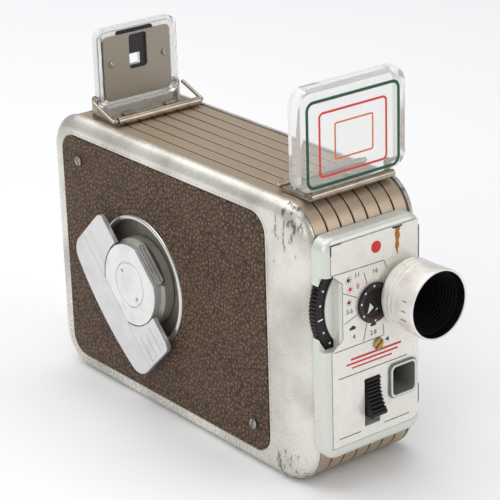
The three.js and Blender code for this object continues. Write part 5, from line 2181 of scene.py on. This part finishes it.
# ---- the folding sights ------------------------------------------------------------------------
@dataclass
class Tray:
    """The form of a moulded sight frame: a plate with a wall round it, open on one side."""

    middle: float
    half: float
    face: float
    depth: float
    low: float
    high: float
    wall: float
    thick: float
    corner: float
    edge: float
    open_rear: bool

    def solid(self, name: str, floor_wall: bool) -> bpy.types.Object:
        """The moulding.

        Args:
            name: The piece's name.
            floor_wall: Whether a wall closes its lower side.

        Returns:
            The moulding.
        """
        low, high = (self.middle - self.half, self.low), (self.middle + self.half, self.high)
        ends = (self.face + self.depth, self.face) if self.open_rear else (self.face, self.face + self.depth)
        outer = lofted(name, Axis.Y, softened_stations(*ends, low, high, self.corner, self.edge, 6), 10)
        foot = self.low + self.wall if floor_wall else self.low - 5
        start = self.face + self.thick if self.open_rear else self.face - 1
        end = self.face + self.depth + 1 if self.open_rear else self.face + self.depth - self.thick
        inner = slab(
            "hollow", Axis.Y, start, end, (low[0] + self.wall, foot),
            (high[0] - self.wall, self.high - self.wall),
            self.corner - 1.5, 8,
        )
        carve(outer, inner)
        return outer


@dataclass
class FrontSight(Assembly):
    """The clear frame over the lens, its three printed field lines, base, rod and pins."""

    tray: Tray = field(
        default_factory=lambda: Tray(1.3, 25.8, -75.3, 6.0, 116.2, 155.4, 2.2, 2.0, 6.2, 1.8, True)
    )
    pivot: Pair = (-71.5, 118.6)

    def line(self, name: str, low: Pair, high: Pair, width: float, corner: float) -> bpy.types.Object:
        """One printed field line: a rounded frame on the front of the moulding.

        Args:
            name: The piece's name.
            low: Lowest corner.
            high: Highest corner.
            width: Its width.
            corner: Its outer corner radius.

        Returns:
            The line.
        """
        start, end = self.tray.face + 0.1, self.tray.face - 0.06
        outer = slab(name, Axis.Y, start, end, low, high, corner, 8)
        inner_low = (low[0] + width, low[1] + width)
        inner_high = (high[0] - width, high[1] - width)
        carve(
            outer,
            slab("inner", Axis.Y, start + 1, end - 1, inner_low, inner_high, max(0.3, corner - width), 8),
        )
        return outer

    def base(self) -> bpy.types.Object:
        """The pressed base of the front sight.

        Returns:
            The base with its rolled front edge, trough and ears.
        """
        x0, x1 = self.tray.middle - 20, self.tray.middle + 20
        outline = [(-57.9, 112.75), (-73.4, 112.75)]
        outline += arc((-73.85, 114.25), 1.52, -75, -285, 14)
        outline += [(-72.9, 113.95), (-59.3, 113.92)]
        outline += arc((-56.7, 114.9), 1.35, 205, 380, 10)
        outline += arc((-56.7, 114.9), 1.88, 20, -130, 10)
        piece = outlined("front_sight_base_fine", Axis.X, x0, x1, outline)
        for side in (-1, 1):
            x = self.tray.middle + side * 19
            ear = block("ear", (x - 0.7, -72.9, 113.4), (x + 0.7, -70.1, self.pivot[1]))
            carve(ear, rod("top", Axis.X, self.pivot, 1.4, x - 0.7, x + 0.7, 40), how="UNION")
            carve(piece, ear, how="UNION")
        tools = [rod("hole", Axis.Z, place, 1.4, 110, 118, 24) for place in ((-7.5, -63.0), (10.0, -63.0))]
        carve(piece, rod("hole", Axis.X, self.pivot, 1.1, -40, 40, 24), *tools)
        soften(piece, 0.12, 2, SHARP)
        return weigh(piece, CREASE)

    def build(self) -> None:
        """Makes the front sight."""
        frame_piece = self.tray.solid("front_sight_frame_fine", False)
        carve(frame_piece, rod("hole", Axis.X, self.pivot, 1.1, -40, 40, 24))
        soften(frame_piece, 0.3, 2, SHARP)
        self.fit(weigh(frame_piece, CREASE), "front_sight", HAZED, "clear", "front_sight_frame")
        rows = [
            ("field_line_wide", (-21.3, 117.5), (23.5, 150.9), 1.2, 3.6, GREEN_INK),
            ("field_line_middle", (-15.4, 121.0), (17.3, 145.9), 0.85, 2.2, SCARLET_INK),
            ("field_line_near", (-8.0, 126.5), (10.6, 140.8), 0.65, 1.0, ORANGE_INK),
        ]
        for name, low, high, width, corner, ink in rows:
            self.fit(self.line(name, low, high, width, corner), "front_sight", ink, "paint")
        self.fit(self.base(), "chassis", NICKEL, "nickel", "front_sight_base")
        middle = self.tray.middle
        ends = (middle - 21.4, middle + 21.4)
        bar = pin("front_sight_rod_fine", Axis.X, (-56.7, 114.9), 0.98, ends, (0.28, 0.3), 40)
        self.fit(bar, "chassis", NICKEL, "nickel", "front_sight_rod")
        for side, name in ((-1, "front_sight_pin_a"), (1, "front_sight_pin_b")):
            low, high = sorted((middle + side * 17.9, middle + side * 25.4))
            piece = pin(f"{name}_fine", Axis.X, self.pivot, 0.8, (low, high), (0.2, 0.2))
            self.fit(piece, "front_sight", STEEL, "steel", name)


@dataclass
class RearSight(Assembly):
    """The eyepiece frame: clear tray, grey peep plate, dark mask, rivets, base and wire bail."""

    tray: Tray = field(
        default_factory=lambda: Tray(0.5, 19.5, 58.0, 4.7, 116.3, 149.2, 1.5, 1.6, 4.2, 1.2, False)
    )
    pivot: Pair = (61.0, 120.0)
    bail: Pair = (45.3, 114.6)

    def plate(self) -> bpy.types.Object:
        """The grey plate behind the eyepiece.

        Returns:
            The plate with its peep hole and the holes of its rivets.
        """
        middle = self.tray.middle
        sheet = slab(
            "rear_sight_plate_fine", Axis.Y, 58.7, 59.6, (middle - 16.6, 118.6), (middle + 16.6, 145.6),
            2.2, 8,
        )
        peep = slab("peep", Axis.Y, 50, 70, (-3.4, 130.2), (5.4, 144.7), 1.4, 8)
        rivets = [rod("hole", Axis.Y, (middle + x, 134.0), 0.9, 50, 70, 24) for x in (-13.2, 13.2)]
        carve(sheet, peep, *rivets)
        soften(sheet, 0.14, 2, SHARP)
        return weigh(sheet, CREASE)

    def base(self) -> bpy.types.Object:
        """The pressed base of the rear sight.

        Returns:
            The base with two ears and the rolled edge that holds the bail.
        """
        middle = self.tray.middle
        x0, x1 = middle - 20.4, middle + 20.4
        outline = [(63.6, 112.75), (63.6, 113.85), (46.9, 113.85)]
        outline += arc(self.bail, 1.7, -26, 236, 20)
        outline += [(44.7, 112.75)]
        piece = outlined("rear_sight_base_fine", Axis.X, x0, x1, outline)
        for side in (-1, 1):
            x = middle + side * 20.4
            ear = block("ear", (x - 0.5, 59.3, 112.9), (x + 0.5, 62.7, self.pivot[1]))
            carve(ear, rod("top", Axis.X, self.pivot, 1.7, x - 0.5, x + 0.5, 40), how="UNION")
            carve(piece, ear, how="UNION")
        tools = [rod("hole", Axis.Z, place, 1.4, 110, 118, 24) for place in ((-9.5, 53.0), (11.5, 53.0))]
        bores = [
            rod("bore", Axis.X, self.bail, 1.1, -40, 40, 32),
            rod("bore", Axis.X, self.pivot, 1.1, -40, 40, 24),
        ]
        carve(piece, *bores, *tools)
        soften(piece, 0.1, 2, SHARP)
        return weigh(piece, CREASE)

    def wire(self) -> bpy.types.Object:
        """The wire bail of the rear sight.

        Returns:
            An axle in the rolled edge, bent up into an arm at each side.
        """
        middle = self.tray.middle
        y, z = self.bail
        parts = []
        for side in (-1, 1):
            x = middle + side * 22.3
            bend = [
                (
                    x - side * 1.1 + side * 1.1 * math.sin(a), y + 1.1 * (1 - math.cos(a)) * 0.94,
                    z + 1.1 * (1 - math.cos(a)) * 0.34,
                )
                for a in (math.pi / 2 * i / 8 for i in range(9))
            ]
            parts += bend if side > 0 else [*reversed(bend)]
        half = len(parts) // 2
        left, right = parts[:half], parts[half:]
        ends = [(middle + side * 22.3, y + 13.8, z + 5.0) for side in (-1, 1)]
        path = [ends[0], *left, *right, ends[1]]
        return swept("rear_sight_wire_fine", path, 0.8, 24)

    def build(self) -> None:
        """Makes the rear sight."""
        middle = self.tray.middle
        tray = self.tray.solid("rear_sight_frame_fine", True)
        tools = [rod("hole", Axis.Y, (middle + x, 134.0), 0.9, 50, 70, 24) for x in (-13.2, 13.2)]
        carve(
            tray, block("window", (-2.8, 55, 131.3), (3.0, 66, 136.3)),
            rod("hole", Axis.X, self.pivot, 1.1, -40, 40, 24), *tools,
        )
        soften(tray, 0.25, 2, SHARP)
        self.fit(weigh(tray, CREASE), "rear_sight", ACRYLIC, "clear", "rear_sight_frame")
        self.fit(self.plate(), "rear_sight", ANODISED, "grey", "rear_sight_plate")
        mask = slab(
            "rear_sight_mask_fine", Axis.Y, 59.9, 60.8, (middle - 9, 124.0), (middle + 9, 147.0), 1.5, 6,
        )
        carve(mask, block("window", (-2.8, 50, 131.3), (3.0, 70, 136.3)))
        self.fit(weigh(mask), "rear_sight", MASK, "black", "rear_sight_mask")
        strip = slab("rear_sight_edge", Axis.Y, 60.0, 60.6, (-17.3, 118.6), (-15.8, 145.6), 0.3, 4)
        self.fit(weigh(strip), "rear_sight", BLACK, "black")
        for x, name in ((-13.2, "sight_rivet_a"), (13.2, "sight_rivet_b")):
            rivet = turned(
                f"{name}_fine", Axis.Y, (middle + x, 134.0),
                [
                    (CORE, 62.5), (0.6, 62.5), (0.6, 58.45), (1.2, 58.4), (1.15, 58.2), (0.9, 58.05),
                    (CORE, 58.0),
                ],
                32,
            )
            self.fit(weigh(rivet), "rear_sight", NICKEL, "aluminium", name)
        self.fit(self.base(), "chassis", NICKEL, "nickel", "rear_sight_base")
        self.fit(weigh(self.wire(), 60), "sight_wire", NICKEL, "nickel", "rear_sight_wire")
        for side, name in ((-1, "rear_sight_pin_a"), (1, "rear_sight_pin_b")):
            low, high = sorted((middle + side * 18.2, middle + side * 21.1))
            piece = pin(f"{name}_fine", Axis.X, self.pivot, 0.8, (low, high), (0.2, 0.2))
            self.fit(piece, "rear_sight", STEEL, "steel", name)


# ---- the film side -----------------------------------------------------------------------------
@dataclass
class FilmDoor(Assembly):
    """The hinged shell on the film side with its hide, dished latch and hinge."""

    latch: Pair = (-34.0, 56.4)
    latch_radius: float = 11.0
    hinge: Pair = (24.6, 86.4)
    casing: Casing = field(default_factory=lambda: Casing(side=1))

    def door(self) -> bpy.types.Object:
        """The shell on the film side.

        Returns:
            The shell with the latch seat and the pad for the hinge.
        """
        shell = self.casing.shell("film_door_fine")
        r = self.latch_radius
        seat = turned(
            "seat", Axis.X, self.latch,
            [
                (2.6, 24.3), (r + 1.8, 24.3), (r + 1.8, 27.1), (r + 0.6, 27.1), (r + 0.6, 25.5),
                (2.6, 25.5), (2.6, 24.3),
            ],
            96,
        )
        carve(shell, rod("hole", Axis.X, self.latch, r + 0.6, 20, 40, 96))
        carve(shell, seat, block("pad", (24.2, 78, 45.3), (27.2, 83.6, 67.1)), how="UNION")
        return weigh(shell, 35)

    def knob(self) -> bpy.types.Object:
        """The knob of the latch.

        Returns:
            The dished knob with its finger bar and bolt.
        """
        r = self.latch_radius
        y, z = self.latch
        dish = turned(
            "door_latch_fine", Axis.X, self.latch,
            [
                (CORE, 25.8), (r - 0.1, 25.8), (r, 25.9), (r, 28.3), (r - 0.2, 28.8), (r - 0.7, 29.0),
                (r - 2.9, 29.0),
                (r - 3.3, 28.8), (r - 3.6, 28.2), (CORE, 28.2),
            ],
            96,
        )
        grip = slab("grip", Axis.X, 27.9, 31.0, (y - 1.4, z - 7.6), (y + 1.4, z + 7.6), 1.3, 6)
        shaft = rod("shaft", Axis.X, self.latch, 2.3, 21.5, 26, 32)
        bolt = block("bolt", (21.4, y - 2.4, z - 9), (22.6, y + 2.4, z + 9))
        carve(dish, grip, shaft, bolt, how="UNION")
        soften(dish, 0.25, 2, SHARP)
        return weigh(dish, CREASE)

    def leaf(self, name: str, spans: Sequence[Pair], plates: Sequence[tuple]) -> bpy.types.Object:
        """One half of the hinge.

        Args:
            name: The piece's name.
            spans: Start and end of each knuckle in z.
            plates: Lowest and highest corner of each flat part.

        Returns:
            The leaf.
        """
        parts = [block("plate", low, high) for low, high in plates]
        parts += [rod("knuckle", Axis.Z, self.hinge, 1.9, start, end, 48) for start, end in spans]
        piece = parts[0]
        piece.name = name
        carve(piece, *parts[1:], how="UNION")
        carve(piece, rod("bore", Axis.Z, self.hinge, 1.1, 30, 84, 32))
        soften(piece, 0.15, 2, SHARP)
        return weigh(piece, CREASE)

    def build(self) -> None:
        """Makes the door, its hide, the latch and the hinge."""
        self.fit(self.door(), "door", ENAMEL, "paint", "film_door")
        hide = self.casing.hide("film_hide")
        carve(hide, rod("hole", Axis.X, self.latch, self.latch_radius + 0.9, 20, 40, 96))
        self.fit(weigh(hide), "door", HIDE, "leatherette", "hide_film_side")
        self.fit(self.knob(), "latch", FACED, "aluminium", "door_latch")
        body_plates = [
            ((6, 84.3, 38), (22.4, 85.3, 74.4)), ((22, 84.3, 38), (24.8, 86, 47)),
            ((22, 84.3, 65.4), (24.8, 86, 74.4)),
        ]
        leaf = self.leaf("hinge_body_leaf_fine", ((38.0, 47.0), (65.4, 74.4)), body_plates)
        self.fit(leaf, "chassis", NICKEL, "nickel", "hinge_body_leaf")
        leaf = self.leaf("hinge_door_leaf_fine", ((47.3, 65.1),), [((24.2, 84.3, 47.3), (27.2, 85.3, 65.1))])
        self.fit(leaf, "door", NICKEL, "nickel", "hinge_door_leaf")
        piece = pin("hinge_pin_fine", Axis.Z, self.hinge, 0.8, (37.4, 75.0), (0.2, 0.3))
        self.fit(piece, "chassis", STEEL, "steel", "hinge_pin")


@dataclass
class Works(Assembly):
    """The clockwork and film transport behind the door."""

    spool_radius: float = 25.2
    spool_y: float = 38.0
    feed_z: float = 83.0
    takeup_z: float = 29.7

    def spool(self, name: str, place: Pair) -> bpy.types.Object:
        """A film spool: two flanges with lightening holes on a core.

        Args:
            name: The piece's name.
            place: Its axis, as y and z.

        Returns:
            The spool.
        """
        r = self.spool_radius
        spool = turned(
            name, Axis.X, place,
            [
                (2.6, 3.0), (r - 0.2, 3.0), (r, 3.2), (r, 3.8), (r - 0.2, 4.0), (8.0, 4.0), (8.0, 20.0),
                (r - 0.2, 20.0),
                (r, 20.2), (r, 20.8), (r - 0.2, 21.0), (4.4, 21.0), (4.2, 20.6), (2.6, 20.6), (2.6, 3.0),
            ],
            128,
        )
        for i in range(3):
            angle = math.radians(90 + 120 * i)
            hole = (place[0] + 15.5 * math.cos(angle), place[1] + 15.5 * math.sin(angle))
            carve(spool, rod("hole", Axis.X, hole, 4.6, 0, 30, 48))
        return weigh(spool, CREASE)

    def build(self) -> None:
        """Makes the spools and refines the rest of the works from the frame."""
        for name, body, z in (
            ("feed_spool", "feed", self.feed_z), ("takeup_spool", "takeup", self.takeup_z),
        ):
            self.fit(self.spool(f"{name}_fine", (self.spool_y, z)), body, BLACK, "black", name)
        rows = [
            ("mechanism_plate", "chassis", STEEL, "steel"), ("spring_barrel", "barrel", BRASS, "brass"),
            ("idler_gear", "idler", BRASS, "brass"), ("feed_spindle", "chassis", STEEL, "steel"),
            ("takeup_spindle", "chassis", STEEL, "steel"), ("film_gate", "chassis", STEEL, "steel"),
            ("pressure_plate", "chassis", NICKEL, "steel"), ("shutter_disc", "shutter", BLACK, "black"),
            ("claw", "claw", STEEL, "steel"),
        ]
        for node, body, finish, slot in rows:
            self.fit(refined(node, f"{node}_fine", 0.12, 2), body, finish, slot, node)


# ---- studio ------------------------------------------------------------------------------------
@dataclass
class Studio:
    """A pale floor, soft light and the camera."""

    floor_size: float = 6.0
    azimuth: float = -37.65
    elevation: float = 21.81
    roll: float = -1.77
    place: tuple[float, float, float] = (-468.73, -620.77, 378.09)
    focal: float = 150.76

    def floor(self) -> None:
        """The floor, wide enough to run out of sight."""
        clear_selection()
        bpy.ops.mesh.primitive_plane_add(size=self.floor_size, location=(0, 0, 0))
        ground = settle("floor")
        with editing(ground):
            bpy.ops.mesh.select_all(action="SELECT")
            bpy.ops.mesh.subdivide(number_cuts=4)
        paper = Finish("white_paper_backdrop", "f4f4f5", 0.9, 0.0, grain_mm=2.0, mottle=0.004)
        ground.data.materials.append(paper.build())

    def lamp(
        self, name: str, place: tuple[float, float, float], size: float, power: float,
        aim: tuple[float, float, float],
    ) -> None:
        """A square soft box.

        Args:
            name: The lamp's name.
            place: Where it hangs, in metres.
            size: Its side in metres.
            power: Its power in watts.
            aim: The point it faces.
        """
        clear_selection()
        bpy.ops.object.light_add(type="AREA", location=place)
        lamp = bpy.context.object
        lamp.name = name
        lamp.data.shape = "SQUARE"
        lamp.data.size = size
        lamp.data.energy = power
        way = Vector(aim) - Vector(place)
        lamp.rotation_euler = way.to_track_quat("-Z", "Y").to_euler()

    def camera(self) -> None:
        """The camera, at the angle the camera body is shown from."""
        az, el, roll = (math.radians(v) for v in (self.azimuth, self.elevation, self.roll))
        back = Vector((math.sin(az) * math.cos(el), -math.cos(az) * math.cos(el), math.sin(el)))
        right = Vector((0, 0, 1)).cross(back).normalized()
        up = back.cross(right)
        turned_right = math.cos(roll) * right + math.sin(roll) * up
        turned_up = -math.sin(roll) * right + math.cos(roll) * up
        clear_selection()
        bpy.ops.object.camera_add()
        camera = bpy.context.object
        camera.name = "studio_camera"
        camera.data.sensor_width = 36.0
        camera.data.lens = self.focal
        camera.data.clip_start = 0.05
        camera.data.clip_end = 50.0
        turn = Matrix((turned_right, turned_up, back)).transposed().to_4x4()
        camera.matrix_world = Matrix.Translation(Vector(self.place) * MM) @ turn
        bpy.context.scene.camera = camera

    def build(self) -> None:
        """Sets up the floor, lights, backdrop colour and camera."""
        self.floor()
        self.lamp("overhead_softbox", (-0.1, 0.4, 1.3), 1.7, 15.5, (0, 0.1, 0))
        self.lamp("left_softbox", (-1.2, -0.5, 0.7), 1.0, 5.0, (0, 0, 0.06))
        self.lamp("front_softbox", (0.7, -1.3, 0.8), 0.9, 5.0, (0, 0, 0.06))
        world = bpy.data.worlds.new("pale_surround")
        world.use_nodes = True
        surround = world.node_tree.nodes["Background"]
        surround.inputs["Color"].default_value = linear("f3f4f6")
        surround.inputs["Strength"].default_value = 0.46
        bpy.context.scene.world = world
        bpy.context.scene.view_settings.view_transform = "Standard"
        self.camera()


def main() -> None:
    """Builds every sub-assembly in order, then the studio."""
    logging.basicConfig(level=logging.INFO, format="%(name)s: %(message)s")
    clear_selection()
    parts = [
        WindingSide(), Band(), Fasteners(), Winder(), FrontPanel(), FootageRing(), ApertureDial(), Lens(),
        Controls(),
        FrontSight(), RearSight(), FilmDoor(), Works(),
    ]
    for part in parts:
        log.info("building %s", type(part).__name__)
        part.build()
    Studio().build()


if __name__ == "__main__":
    main()
